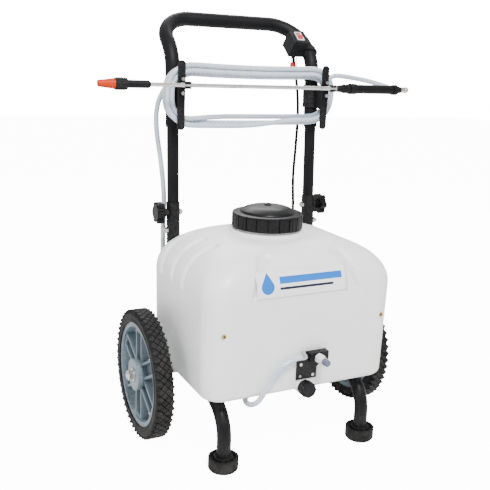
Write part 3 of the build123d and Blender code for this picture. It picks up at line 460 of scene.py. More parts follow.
def make_finishes():
    black = (0.0028, 0.0028, 0.0034)
    soft_black = (0.0052, 0.0052, 0.0062)
    steel_edge = (0.22, 0.21, 0.20)
    return {
        "black_paint": dull("black_powder_coat", black, soft_black, 0.32, 0.5, grain_scale=700.0,
            grain_depth=0.0002, worn=steel_edge, wear=0.08, dusty=0.03, coat=0.04),
        "handle_paint": dull("handle_powder_coat", black, soft_black, 0.3, 0.46, grain_scale=700.0,
            grain_depth=0.0002, coat=0.04),
        "zinc": finish("zinc_plate", (0.60, 0.58, 0.54), (0.48, 0.47, 0.45), 0.24, 0.46, metal=1.0,
            marks=120.0, dusty=0.2),
        "axle_steel": finish("drawn_steel", (0.50, 0.49, 0.48), (0.40, 0.39, 0.38), 0.26, 0.5,
            metal=1.0, marks=150.0, dusty=0.35),
        "foot_rubber": dull("foot_rubber", (0.0055, 0.0055, 0.0060), (0.0100, 0.0100, 0.0100), 0.55,
            0.8, worn=(0.02, 0.02, 0.019), wear=0.4, dusty=0.08, dust_top=0.05, grain_depth=0.0003),
        "wheel_plastic": finish("wheel_slate_plastic", (0.098, 0.138, 0.168), (0.120, 0.165, 0.195),
            0.34, 0.55, grain_scale=800.0, worn=(0.30, 0.36, 0.40), wear=0.4, dusty=0.14,
            dust_top=0.30),
        "tyre_rubber": dull("tyre_rubber", (0.0040, 0.0040, 0.0045), (0.0075, 0.0075, 0.0080), 0.5,
            0.78, worn=(0.035, 0.034, 0.032), wear=0.5, dusty=0.14, dust_top=0.30, grain_depth=0.0004),
        "bush_nylon": finish("bush_nylon", (0.66, 0.65, 0.60), (0.58, 0.57, 0.53), 0.35, 0.5),
        "tank_plastic": finish("tank_polyethylene", (0.885, 0.88, 0.865), (0.84, 0.835, 0.82), 0.33,
            0.5, drift=5.0, grain_scale=420.0, grain_depth=0.00025, grain_strength=0.22, dusty=0.18,
            dust_top=0.30, subsurface=0.35, coat=0.08),
        "brass": finish("insert_brass", (0.62, 0.42, 0.17), (0.48, 0.31, 0.13), 0.25, 0.5, metal=1.0,
            marks=200.0),
        "black_plastic": dull("textured_nylon", black, soft_black, 0.36, 0.56, grain_scale=900.0,
            grain_depth=0.0003, worn=(0.04, 0.04, 0.04), wear=0.4),
        "lid_plastic": dull("lid_plastic", (0.0028, 0.0028, 0.0033), (0.0050, 0.0050, 0.0057), 0.34,
            0.5, grain_scale=800.0, grain_depth=0.0002, worn=(0.018, 0.018, 0.02), wear=0.3,
            dusty=0.02, dust_top=0.9, coat=0.05),
        "seal_rubber": finish("seal_rubber", (0.03, 0.03, 0.03), (0.045, 0.045, 0.045), 0.5, 0.7),
        "strainer_plastic": finish("strainer_plastic", (0.72, 0.72, 0.71), (0.66, 0.66, 0.64), 0.35,
            0.5),
        "grip_foam": dull("grip_foam", (0.0036, 0.0036, 0.0045), (0.0052, 0.0052, 0.0064), 0.46, 0.58,
            grain_scale=1500.0, grain_depth=0.0004, marks=22.0),
        "knob_plastic": dull("knob_plastic", black, soft_black, 0.3, 0.48, grain_depth=0.0002,
            worn=(0.016, 0.016, 0.016), wear=0.4),
        "lance_steel": finish("lance_stainless", (0.74, 0.72, 0.69), (0.62, 0.60, 0.58), 0.16, 0.34,
            metal=1.0, marks=180.0),
        "lance_plastic": dull("lance_nylon", black, soft_black, 0.36, 0.55, grain_scale=1000.0,
            grain_depth=0.0003, worn=(0.04, 0.04, 0.04), wear=0.4),
        "nozzle_orange": dull("nozzle_orange", (0.50, 0.032, 0.0008), (0.42, 0.026, 0.0006), 0.4,
            0.55, drift=60.0),
        "elbow_chrome": finish("plated_elbow", (0.70, 0.66, 0.58), (0.55, 0.51, 0.44), 0.12, 0.32,
            metal=1.0, marks=200.0),
        "hose_pvc": hose_finish(),
        "cable_jacket": dull("cable_jacket", (0.0032, 0.0032, 0.0036), (0.0055, 0.0055, 0.0060), 0.34,
            0.5, grain_scale=1400.0),
        "battery_case": dull("battery_case", (0.035, 0.036, 0.04), (0.055, 0.056, 0.06), 0.36, 0.55,
            worn=(0.2, 0.2, 0.2), wear=0.4, dusty=0.35),
        "tray_paint": dull("tray_paint", black, soft_black, 0.36, 0.55, worn=steel_edge, wear=0.4,
            dusty=0.2),
        "strap_web": webbing_finish(),
        "pump_plastic": dull("pump_head_plastic", (0.018, 0.018, 0.02), (0.034, 0.034, 0.037), 0.38,
            0.58, dusty=0.4),
        "motor_steel": finish("motor_can", (0.055, 0.056, 0.06), (0.09, 0.09, 0.095), 0.3, 0.5,
            metal=0.6, worn=(0.4, 0.4, 0.4), wear=0.5, dusty=0.3, marks=60.0),
        "rocker_red": finish("rocker_red", (0.55, 0.03, 0.035), (0.45, 0.02, 0.025), 0.22, 0.38,
            drift=90.0),
        "bezel_white": finish("switch_white", (0.76, 0.75, 0.72), (0.70, 0.69, 0.66), 0.25, 0.42),
        "fitting_white": finish("white_acetal", (0.78, 0.76, 0.78), (0.72, 0.70, 0.73), 0.26, 0.42,
            drift=50.0, subsurface=0.15),
        "dial_plastic": finish("dial_plastic", (0.075, 0.085, 0.15), (0.11, 0.12, 0.19), 0.3, 0.5,
            drift=60.0),
        "clamp_steel": finish("clamp_stainless", (0.62, 0.59, 0.56), (0.50, 0.47, 0.45), 0.2, 0.42,
            metal=1.0, marks=220.0),
    }


finishes = make_finishes()
own_finish = {"switch_rocker": "rocker_red"}
for part in frame["record"]["subparts"]:
    node = frame["nodes"][part["node"]]
    for index in range(max(1, len(node.material_slots))):
        if not node.material_slots:
            node.data.materials.append(None)
        node.material_slots[index].link = "OBJECT"
        node.material_slots[index].material = finishes[own_finish.get(part["node"],
                                                                      part["material_slot"])]


# ================================================================ mesh helpers


def add_piece(name, mesh, slot=None):
    """Object for a mesh, at the origin, with one finish."""
    piece = bpy.data.objects.new(name, mesh)
    bpy.context.scene.collection.objects.link(piece)
    if slot:
        mesh.materials.append(finishes[slot])
    return piece


def new_piece(name, vertices, faces, slot, smooth_under=35):
    """Mesh object at the origin with one finish."""
    mesh = bpy.data.meshes.new(name)
    mesh.from_pydata([tuple(v) for v in vertices], [], faces)
    mesh.validate()
    piece = add_piece(name, mesh, slot)
    soften(mesh, smooth_under)
    return piece


def soften(mesh, smooth_under=35):
    """Shade smooth, with edges sharper than an angle kept sharp, and normals outwards."""
    work = bmesh.new()
    work.from_mesh(mesh)
    bmesh.ops.remove_doubles(work, verts=work.verts, dist=1e-6)
    bmesh.ops.recalc_face_normals(work, faces=work.faces)
    work.to_mesh(mesh)
    work.free()
    mesh.polygons.foreach_set("use_smooth", [True] * len(mesh.polygons))
    mesh.set_sharp_from_angle(angle=radians(smooth_under))


def ring_faces(count, levels):
    """Faces of a closed body made of rings with the same number of points."""
    faces = []
    for level in range(levels - 1):
        for step in range(count):
            after = (step + 1) % count
            faces.append((level * count + step, level * count + after,
                          (level + 1) * count + after, (level + 1) * count + step))
    faces.append(tuple(reversed(range(count))))
    faces.append(tuple(range((levels - 1) * count, levels * count)))
    return faces


def lathe(name, profile, slot, segments=96, smooth_under=35):
    """Closed profile of (radius, height) turned about Z."""
    vertices = []
    for step in range(segments):
        turn = 2 * pi * step / segments
        vertices += [(radius * cos(turn), radius * sin(turn), height) for radius, height in profile]
    faces = []
    count = len(profile)
    for step in range(segments):
        after = (step + 1) % segments
        for index in range(count):
            following = (index + 1) % count
            faces.append((step * count + index, after * count + index,
                          after * count + following, step * count + following))
    return new_piece(name, vertices, faces, slot, smooth_under)


def rod_piece(name, start, end, radius, end_radius=None, sides=48):
    """Closed rod or cone between two points."""
    start, end = Vector(start), Vector(end)
    along = (end - start).normalized()
    across = along.orthogonal().normalized()
    third = along.cross(across)
    rings = ((start, radius), (end, radius if end_radius is None else end_radius))
    vertices = []
    for middle, ring_radius in rings:
        for step in range(sides):
            turn = 2 * pi * step / sides
            vertices.append(middle + ring_radius * (cos(turn) * across + sin(turn) * third))
    return new_piece(name, vertices, ring_faces(sides, 2), None)


def box_piece(name, low, high):
    """Closed box between two corners."""
    vertices = [(x, y, z) for x in (low[0], high[0]) for y in (low[1], high[1]) for z in (low[2],
                                                                                          high[2])]
    faces = [(0, 1, 3, 2), (4, 6, 7, 5), (0, 4, 5, 1), (2, 3, 7, 6), (0, 2, 6, 4), (1, 5, 7, 3)]
    return new_piece(name, vertices, faces, None)


def combine(piece, tool, operation):
    """Boolean of two closed meshes; the tool is used up."""
    step = piece.modifiers.new(operation.lower(), "BOOLEAN")
    step.object = tool
    step.operation = operation
    step.solver = "MANIFOLD"
    settle(piece)
    old = tool.data
    bpy.data.objects.remove(tool)
    bpy.data.meshes.remove(old)


def settle(piece):
    """Turn the piece with its modifiers into a plain mesh."""
    bpy.context.view_layer.update()
    evaluated = piece.evaluated_get(bpy.context.evaluated_depsgraph_get())
    mesh = bpy.data.meshes.new_from_object(evaluated)
    mesh.name = piece.name
    piece.modifiers.clear()
    piece.data = mesh


# ================================================================ tank


def shoulder_at(run, shrink=0.0):
    """Inset and rise of the shoulder after a run over its surface; also how far it has turned."""
    small = shoulder_radius - shrink
    large = crown_radius - shrink
    first_run = small * shoulder_share
    turn = run / small if run < first_run else shoulder_share + (run - first_run) / large
    first = min(turn, shoulder_share)
    inset = small * (1 - cos(first))
    rise = small * sin(first)
    if turn > shoulder_share:
        inset += large * (cos(shoulder_share) - cos(turn))
        rise += large * (sin(turn) - sin(shoulder_share))
    return inset, rise


def tank_ring(z, inset, shrink=0.0, narrow=0.0):
    """Rounded rectangle of the tank at one height, with the same number of points each time."""
    half = tank_half_width - shrink - inset - narrow
    front = tank_front + shrink + front_shoulder * inset
    rear = tank_rear - shrink - rear_shoulder * inset
    corner = tank_corner - shrink + 0.25 * inset
    corners = ((half, front), (half, rear), (-half, rear), (-half, front))
    steps_straight = (52, 70, 52, 70)
    points = []
    for index, (x, y) in enumerate(corners):
        toward_x = -1 if x > 0 else 1
        toward_y = 1 if y == front else -1
        middle = (x + toward_x * corner, y + toward_y * corner)
        start = radians(-90 + 90 * index)
        for step in range(18):
            turn = start + radians(90) * step / 18
            points.append((middle[0] + corner * cos(turn), middle[1] + corner * sin(turn), z))
        turn = start + radians(90)
        first = Vector((middle[0] + corner * cos(turn), middle[1] + corner * sin(turn), z))
        following = corners[(index + 1) % 4]
        next_x = following[0] + (-1 if following[0] > 0 else 1) * corner
        next_y = following[1] + (1 if following[1] == front else -1) * corner
        last = Vector((next_x + corner * cos(turn), next_y + corner * sin(turn), z))
        steps = steps_straight[index]
        points += [tuple(first.lerp(last, step / steps)) for step in range(steps)]
    return points


def smooth_step(value):
    value = min(1.0, max(0.0, value))
    return value * value * (3 - 2 * value)


def groove_depth(point, run):
    """How deep the shoulder grooves and the front flutes sink the surface at a point."""
    x, y = abs(point[0]), point[1]
    depth = 0.0
    if run < -0.03:
        return depth
    inset = shoulder_at(max(run, 0.0))[0]
    if x > tank_half_width - inset - side_band:
        for middle in groove_places_y:
            off = hypot(y - middle, max(groove_start - run, 0.0, run - groove_end))
            depth = max(depth, groove_sink * smooth_step((groove_half_width - off) / 0.0065))
    if y < tank_front + front_shoulder * inset + side_band and x < 0.16:
        share = min(1.0, max(0.0, (run - flute_start) / (flute_end - flute_start)))
        axis_x = flute_low_x - (flute_low_x - flute_high_x) * share
        width = 0.0025 + 0.0175 * share ** 0.8
        off = hypot(x - axis_x, max(flute_start - run, 0.0, run - flute_end))
        depth = max(depth, flute_sink * smooth_step((width - off) / (0.22 * width + 0.002)))
    return depth


def tank_body(name, shrink, grooves):
    """Closed body of the tank, by rings from the bottom to the crown."""
    low = tank_bottom + shrink
    round_low = tank_bottom_round - shrink
    rings = []
    for step in range(7):
        turn = radians(90) * step / 6
        z = low + round_low * (1 - cos(turn))
        rings.append((z, round_low * (1 - sin(turn)), None))
    wall_steps = 14
    wall_low = low + round_low
    for step in range(1, wall_steps):
        rings.append((wall_low + (tank_shoulder_height - 0.018 - wall_low) * step / wall_steps, 0.0,
                      None))
    for step in range(6):
        run = -0.018 + 0.0036 * step
        rings.append((tank_shoulder_height + run, 0.0, run))
    total = (shoulder_radius - shrink) * shoulder_share
    total += (crown_radius - shrink) * (crown_share - shoulder_share)
    for step in range(51):
        run = total * step / 50
        inset, rise = shoulder_at(run, shrink)
        rings.append((tank_shoulder_height + rise, inset, run))
    vertices = []
    for z, inset, run in rings:
        share = max(0.0, (tank_shoulder_height - z) / (tank_shoulder_height - tank_bottom))
        below = run is None and z < wall_low
        if below:
            ring = tank_ring(z, 0.0, shrink + inset, tank_draft * share)
        else:
            ring = tank_ring(z, inset, shrink, tank_draft * share)
        if grooves and run is not None:
            ring = [sink(point, run, groove_depth(point, run)) for point in ring]
        vertices += ring
    return new_piece(name, vertices, ring_faces(len(vertices) // len(rings), len(rings)), None, 40)


def sink(point, run, depth):
    """Move a point of the shoulder inwards, square to the surface."""
    if not depth:
        return point
    inset, rise = shoulder_at(max(run, 0.0) + 0.001)
    before_inset, before_rise = shoulder_at(max(run, 0.0))
    steep = atan2(rise - before_rise, inset - before_inset) if run > 0 else radians(90)
    sideways = abs(point[0]) > tank_half_width - before_inset - side_band
    outwards = Vector((1 if point[0] > 0 else -1, 0, 0)) if sideways else Vector((0, -1, 0))
    normal = sin(steep) * outwards + cos(steep) * Vector((0, 0, 1))
    return tuple(Vector(point) - depth * normal)


def upright_point(side, z):
    return Vector((side * upright_x, upright_y + upright_lean * (z - upright_level), z))


def rail_run(side):
    """Middle line of the bent rail from under the tank to above it."""
    corner = upright_point(side, rail_height)
    up = (upright_point(side, upright_level) - corner).normalized()
    forward = Vector((0, -1, 0))
    half_turn = forward.angle(up) / 2
    reach = rail_bend / tan(half_turn)
    middle = corner + (forward + up).normalized() * rail_bend / sin(half_turn)
    first = corner + forward * reach - middle
    last = corner + up * reach - middle
    whole = first.angle(last)
    points = [Vector((side * upright_x, axle_y - 0.02, rail_height))]
    for step in range(17):
        share = step / 16
        blend = (first * sin((1 - share) * whole) + last * sin(share * whole)) / sin(whole)
        points.append(middle + blend)
    points.append(upright_point(side, upright_level))
    return points


def tube_mesh(name, points, radius, slot, sides=20, taper=None):
    """Tube with round closed ends along points; UV is metres along and share around."""
    points = [Vector(p) for p in points]
    tangents = []
    for index in range(len(points)):
        before, after = points[max(0, index - 1)], points[min(len(points) - 1, index + 1)]
        tangents.append((after - before).normalized())
    across = tangents[0].orthogonal().normalized()
    vertices, lengths, run = [], [], 0.0
    for index, (point, along) in enumerate(zip(points, tangents)):
        if index:
            across = (across - across.dot(along) * along).normalized()
            run += (point - points[index - 1]).length
        lengths.append(run)
        third = along.cross(across)
        share = index / (len(points) - 1)
        size = radius if taper is None else radius + (taper - radius) * share
        for step in range(sides):
            turn = 2 * pi * step / sides
            vertices.append(point + size * (cos(turn) * across + sin(turn) * third))
    mesh = bpy.data.meshes.new(name)
    mesh.from_pydata([tuple(v) for v in vertices], [], ring_faces(sides, len(points)))
    layer = mesh.uv_layers.new(name="along_and_around")
    for face in mesh.polygons:
        steps = [mesh.loops[loop].vertex_index % sides for loop in face.loop_indices]
        wraps = len(steps) == 4 and max(steps) - min(steps) > 1
        for loop, step in zip(face.loop_indices, steps):
            around = sides if wraps and step == 0 else step
            ring = mesh.loops[loop].vertex_index // sides
            layer.data[loop].uv = (lengths[ring], around / sides)
    mesh.polygons.foreach_set("use_smooth", [True] * len(mesh.polygons))
    mesh.set_sharp_from_angle(angle=radians(50))
    return add_piece(name, mesh, slot)


def tank_cutters(grow):
    """Channels for the uprights and the battery recess, enlarged by a wall."""
    radius = rail_radius + channel_gap + grow
    cutters = []
    for side in (-1, 1):
        cutters.append(tube_mesh("channel", rail_run(side), radius, None, 40))
        x = side * upright_x
        middle = upright_point(side, 0.344).y
        cutters.append(box_piece("slot", (x - radius, middle, 0.12), (x + radius, tank_rear + 0.04, 0.6)))
    half = battery_recess_half + grow
    cutters.append(box_piece("recess", (-half, battery_recess_front - grow, tank_bottom - 0.02),
                             (half, tank_rear + 0.04, battery_recess_top + grow)))
    return cutters


def make_tank():
    """Blow-moulded tank with its grooves, neck, drain spout, channels and hollow inside."""
    tank = tank_body("tank_shell", 0.0, True)
    hollow = tank_body("tank_hollow", tank_wall, False)
    for cutter in tank_cutters(0.0):
        combine(tank, cutter, "DIFFERENCE")
    for cutter in tank_cutters(tank_wall):
        combine(hollow, cutter, "DIFFERENCE")
    neck = lathe("neck", [
        (0.0001, 0.456), (neck_flange_radius, 0.456), (neck_flange_radius, neck_flange_height - 0.002),
        (neck_flange_radius - 0.0006, neck_flange_height - 0.0006),
        (neck_flange_radius - 0.002, neck_flange_height),
        (neck_radius, neck_flange_height), (neck_radius, neck_top), (0.0001, neck_top)], None)
    combine(tank, neck, "UNION")
    front = tank_front
    combine(tank, rod_piece("boss", (0, front + 0.02, drain_height), (0, front - 0.004, drain_height),
                            drain_boss_radius), "UNION")
    combine(tank, rod_piece("spout", (0, front, drain_height), (0, front - 0.02, drain_height),
                            drain_spout_radius), "UNION")
    combine(tank, hollow, "DIFFERENCE")
    combine(tank, rod_piece("bore", (0, 0, 0.441), (0, 0, neck_top + 0.001), neck_bore, sides=96),
            "DIFFERENCE")
    combine(tank, rod_piece("drain", (0, front + 0.04, drain_height), (0, front - 0.021, drain_height),
                            drain_bore),
            "DIFFERENCE")
    for x in (-insert_x, insert_x):
        combine(tank, rod_piece("insert_hole", (x, front - 0.001, insert_z), (x, front + 0.009,
                                                                              insert_z), 0.005),
                "DIFFERENCE")
    tank.data.materials.clear()
    tank.data.materials.append(finishes["tank_plastic"])
    soften(tank.data, 32)
    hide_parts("tank")
    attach(tank, "cart")


def make_label():
    """Thin film label that follows the front shoulder of the tank."""
    left, right, low, high, lift = -0.127, 0.100, 0.001, 0.062, 0.0003
    columns, rows = 24, 16
    vertices, uvs = [], []
    for row in range(rows + 1):
        run = low + (high - low) * row / rows
        inset, rise = shoulder_at(run)
        steep = run / shoulder_radius
        for column in range(columns + 1):
            x = left + (right - left) * column / columns
            y = tank_front + front_shoulder * inset - lift * cos(steep)
            vertices.append((x, y, tank_shoulder_height + rise + lift * sin(steep)))
            uvs.append((x - left, run - low))
    faces = []
    for row in range(rows):
        for column in range(columns):
            first = row * (columns + 1) + column
            faces.append((first, first + 1, first + columns + 2, first + columns + 1))
    mesh = bpy.data.meshes.new("tank_label")
    mesh.from_pydata(vertices, [], faces)
    layer = mesh.uv_layers.new(name="print")
    for loop in mesh.loops:
        layer.data[loop.index].uv = uvs[loop.vertex_index]
    mesh.polygons.foreach_set("use_smooth", [True] * len(mesh.polygons))
    label = add_piece("tank_label", mesh)
    mesh.materials.append(label_finish())
    film = label.modifiers.new("film", "SOLIDIFY")
    film.thickness = 0.0002
    film.offset = 1.0
    settle(label)
    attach(label, "cart")


make_tank()
make_label()


# ================================================================ tyres and lid by geometry nodes


def geometry_tree(name, numbers):
    """Geometry node tree with a geometry input, named sizes and a material."""
    tree = bpy.data.node_groups.new(name, "GeometryNodeTree")
    tree.interface.new_socket("Geometry", in_out="INPUT", socket_type="NodeSocketGeometry")
    for socket_name, kind in numbers:
        tree.interface.new_socket(socket_name, in_out="INPUT", socket_type="NodeSocket" + kind)
    tree.interface.new_socket("Material", in_out="INPUT", socket_type="NodeSocketMaterial")
    tree.interface.new_socket("Geometry", in_out="OUTPUT", socket_type="NodeSocketGeometry")
    return tree, tree.nodes.new("NodeGroupInput"), tree.nodes.new("NodeGroupOutput")


def node_of(tree, kind, **settings):
    node = tree.nodes.new(kind)
    for name, value in settings.items():
        setattr(node, name, value)
    return node


def vector_of(tree, x=0.0, y=0.0, z=0.0):
    node = tree.nodes.new("ShaderNodeCombineXYZ")
    for index, value in enumerate((x, y, z)):
        if isinstance(value, (int, float)):
            node.inputs[index].default_value = value
        else:
            tree.links.new(value, node.inputs[index])
    return node.outputs[0]


def ring_of(tree, block, count, radius, height, phase):
    """Copies of a block around Z, each turned to face outwards."""
    line = node_of(tree, "GeometryNodeMeshLine")
    tree.links.new(count, line.inputs["Count"])
    index = node_of(tree, "GeometryNodeInputIndex").outputs[0]
    share = math(tree, "DIVIDE", math(tree, "ADD", index, phase), count)
    turn = math(tree, "MULTIPLY", share, 2 * pi)
    placed = node_of(tree, "GeometryNodeSetPosition")
    tree.links.new(line.outputs[0], placed.inputs["Geometry"])
    x = math(tree, "MULTIPLY", math(tree, "COSINE", turn), radius)
    y = math(tree, "MULTIPLY", math(tree, "SINE", turn), radius)
    tree.links.new(vector_of(tree, x, y, height), placed.inputs["Position"])
    copies = node_of(tree, "GeometryNodeInstanceOnPoints")
    tree.links.new(placed.outputs[0], copies.inputs["Points"])
    tree.links.new(block, copies.inputs["Instance"])
    tree.links.new(vector_of(tree, z=turn), copies.inputs["Rotation"])
    return copies.outputs[0]


def close_tree(tree, start, end, geometries):
    """Join everything, make the copies real and give them their material."""
    joined = tree.nodes.new("GeometryNodeJoinGeometry")
    for geometry in geometries:
        tree.links.new(geometry, joined.inputs[0])
    real = tree.nodes.new("GeometryNodeRealizeInstances")
    tree.links.new(joined.outputs[0], real.inputs[0])
    painted = tree.nodes.new("GeometryNodeSetMaterial")
    tree.links.new(real.outputs[0], painted.inputs["Geometry"])
    tree.links.new(start.outputs["Material"], painted.inputs["Material"])
    tree.links.new(painted.outputs[0], end.inputs[0])


def tread_tree():
    """Diamond tread blocks in four rows around a tyre."""
    tree, start, end = geometry_tree("diamond_tread", [
        ("Block Count", "Int"), ("Block Half Width", "Float"),
        ("Block Height", "Float"), ("Row Spacing", "Float"), ("Tread Radius", "Float")])
    block = node_of(tree, "GeometryNodeMeshCone")
    block.inputs["Vertices"].default_value = 4
    tree.links.new(math(tree, "MULTIPLY", start.outputs["Block Half Width"], 0.88),
                   block.inputs["Radius Top"])
    tree.links.new(start.outputs["Block Half Width"], block.inputs["Radius Bottom"])
    tree.links.new(start.outputs["Block Height"], block.inputs["Depth"])
    laid = node_of(tree, "GeometryNodeTransform")
    tree.links.new(block.outputs["Mesh"], laid.inputs["Geometry"])
    laid.inputs["Rotation"].default_value = (0.0, pi / 2, 0.0)
    radius = math(tree, "SUBTRACT", start.outputs["Tread Radius"], start.outputs["Block Height"])
    rows = [start.outputs["Geometry"]]
    for row in range(4):
        height = math(tree, "MULTIPLY", start.outputs["Row Spacing"], row - 1.5)
        phase = 0.5 * (row % 2)
        rows.append(ring_of(tree, laid.outputs[0], start.outputs["Block Count"], radius, height, phase))
    close_tree(tree, start, end, rows)
    return tree


def lid_tree():
    """Broad grip ribs around the lid ring, each with a narrow raised bar along its middle."""
    tree, start, end = geometry_tree("lid_ribs", [
        ("Rib Count", "Int"), ("Rib Width", "Float"), ("Rib Height", "Float"),
        ("Rib Radius", "Float"), ("Rib Middle", "Float")])
    parts = [start.outputs["Geometry"]]
    for thick, wide, tall in ((0.005, 1.0, 1.0), (0.0062, 0.28, 0.86)):
        rib = node_of(tree, "GeometryNodeMeshCube")
        width = math(tree, "MULTIPLY", start.outputs["Rib Width"], wide)
        height = math(tree, "MULTIPLY", start.outputs["Rib Height"], tall)
        tree.links.new(vector_of(tree, thick, width, height), rib.inputs["Size"])
        parts.append(ring_of(tree, rib.outputs["Mesh"], start.outputs["Rib Count"],
                             start.outputs["Rib Radius"], start.outputs["Rib Middle"], 0.0))
    close_tree(tree, start, end, parts)
    return tree


def grow_nodes(piece, tree, values):
    """Run a geometry tree on the piece with named values and keep the plain mesh."""
    step = piece.modifiers.new(tree.name, "NODES")
    step.node_group = tree
    for item in tree.interface.items_tree:
        if item.item_type == "SOCKET" and item.in_out == "INPUT" and item.name in values:
            step[item.identifier] = values[item.name]
    settle(piece)


def make_tyre(side, name, tread):
    """Tyre with diamond tread blocks, about the axle."""
    seat, flange = tyre_seat_radius, rim_flange_radius
    half = [(seat + 0.0002, 0.0138), (flange + 0.0002, 0.0138), (flange + 0.0002, 0.0172),
            (seat + 0.0006, 0.0172),
            (seat + 0.0006, 0.0196), (seat + 0.0018, 0.0205), (0.1275, 0.0209), (0.1290, 0.0203),
            (0.1350, 0.0203),
            (0.1365, 0.0209), (0.1400, 0.0208), (0.1440, 0.0192), (0.1468, 0.0160), (0.1478, 0.0110)]
    profile = [(radius, -height) for radius, height in half]
    profile += reversed(half)
    tyre = lathe(name, profile, "tyre_rubber", 144)
    grow_nodes(tyre, tread, {
        "Block Count": 54, "Block Half Width": 0.0083, "Block Height": 0.0065, "Row Spacing": 0.00850,
        "Tread Radius": wheel_radius - 0.0003, "Material": finishes["tyre_rubber"]})
    turn = Matrix.Rotation(radians(90) * side, 4, "Y")
    tyre.data.transform(Matrix.Translation((side * wheel_plane_x, axle_y, axle_z)) @ turn)
    soften(tyre.data, 30)
    return tyre


def make_lid(ribs):
    """Filler lid: ribbed ring, stepped dome, recessed button, hollow under."""
    low, top = 0.4965, 0.531
    lid = lathe("filler_cap", [
        (0.0752, low), (0.0800, low), (0.0808, low + 0.0008), (0.0808, top - 0.0040),
        (0.0826, top - 0.0034),
        (0.0830, top - 0.0022), (0.0824, top - 0.0006), (0.0810, top), (0.0690, top + 0.0004),
        (0.0665, top + 0.0010),
        (0.0655, top + 0.0036), (0.0640, top + 0.0050), (0.0620, top + 0.0060), (0.0540, top + 0.0105),
        (0.0420, top + 0.0142), (0.0280, top + 0.0162), (0.0100, top + 0.0170), (0.0085, top + 0.0170),
        (0.0080, top + 0.0194), (0.0072, top + 0.0195), (0.0045, top + 0.0194), (0.0040, top + 0.0175),
        (0.00005, top + 0.0174), (0.00005, top + 0.0030), (0.0600, top + 0.0028), (0.0618, top - 0.0040),
        (0.0752, top - 0.0040)], "lid_plastic", 120, 40)
    grow_nodes(lid, ribs, {
        "Rib Count": 20, "Rib Width": 0.0228, "Rib Height": 0.0300, "Rib Radius": 0.0806,
        "Rib Middle": 0.5122,
        "Material": finishes["lid_plastic"]})
    soften(lid.data, 30)
    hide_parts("lid")
    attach(lid, "filler_lid")


tread = tread_tree()
for side, word in ((-1, "left"), (1, "right")):
    tyre = make_tyre(side, "tread_tyre_" + word, tread)
    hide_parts("tyre_" + word)
    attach(tyre, word + "_wheel")
make_lid(lid_tree())


# ================================================================ hoses and cable

front_hose_route = [
    (-0.004, -0.2135, 0.249), (-0.024, -0.2135, 0.249), (-0.046, -0.2135, 0.244),
    (-0.068, -0.2135, 0.231),
    (-0.087, -0.2135, 0.208), (-0.103, -0.213, 0.182), (-0.117, -0.210, 0.158), (-0.127, -0.194, 0.146),
    (-0.127, -0.170, 0.143), (-0.116, -0.147, 0.140), (-0.098, -0.128, 0.136), (-0.079, -0.113, 0.132),
    (-0.063, -0.098, 0.128), (-0.056, -0.079, 0.127), (-0.056, -0.061, 0.127),
]
riser_route = [
    (-0.089, -0.018, 0.126), (-0.112, -0.018, 0.126), (-0.134, -0.006, 0.121), (-0.147, 0.018, 0.116),
    (-0.151, 0.050, 0.113), (-0.152, 0.084, 0.113), (-0.153, 0.118, 0.116), (-0.156, 0.146, 0.128),
    (-0.161, 0.163, 0.152), (-0.168, 0.168, 0.186), (-0.177, 0.167, 0.226), (-0.186, 0.165, 0.272),
    (-0.194, 0.163, 0.324), (-0.199, 0.162, 0.380), (-0.200, 0.161, 0.424), (-0.2005, 0.161, 0.462),
    (-0.200, 0.1605, 0.502), (-0.199, 0.160, 0.545), (-0.202, 0.164, 0.596), (-0.208, 0.168, 0.648),
    (-0.216, 0.169, 0.696), (-0.221, 0.164, 0.738), (-0.222, 0.150, 0.770), (-0.219, 0.133, 0.794),
    (-0.212, 0.115, 0.812),
]
tail_route = [
    (0.232, 0.106, 0.848), (0.276, 0.109, 0.844), (0.326, 0.112, 0.838), (0.375, 0.112, 0.829),
    (0.399, 0.100, 0.821), (0.411, 0.078, 0.817), (0.411, 0.058, 0.817),
]
cable_route = [
    (0.157, 0.1797, 0.9023), (0.158, 0.1905, 0.8879), (0.161, 0.184, 0.864), (0.163, 0.176, 0.832),
    (0.165, 0.168, 0.792), (0.166, 0.163, 0.744), (0.163, 0.159, 0.692), (0.160, 0.157, 0.640),
    (0.157, 0.156, 0.594), (0.160, 0.157, 0.546), (0.166, 0.160, 0.500), (0.164, 0.163, 0.452),
    (0.153, 0.165, 0.408), (0.135, 0.165, 0.366), (0.112, 0.165, 0.326), (0.092, 0.166, 0.292),
    (0.076, 0.169, 0.266), (0.064, 0.169, 0.244), (0.055, 0.162, 0.228), (0.051, 0.147, 0.222),
    (0.051, 0.127, 0.222),
]

# the four places that a turn takes in the coil: inwards at its ends, inwards on its long sides, and Y
rear_inner = (0.018, 0.0270, 0.1100)
front_inner = (0.018, 0.0195, 0.0955)
front_outer = (0.006, 0.0065, 0.0935)
rear_outer = (0.006, 0.0120, 0.1105)
coil_steps = 32
coil_turns = 3.44
coil_shift_starts = (0.80, 0.63, 0.46)
coil_shift_length = 0.15
coil_sag = 0.0035


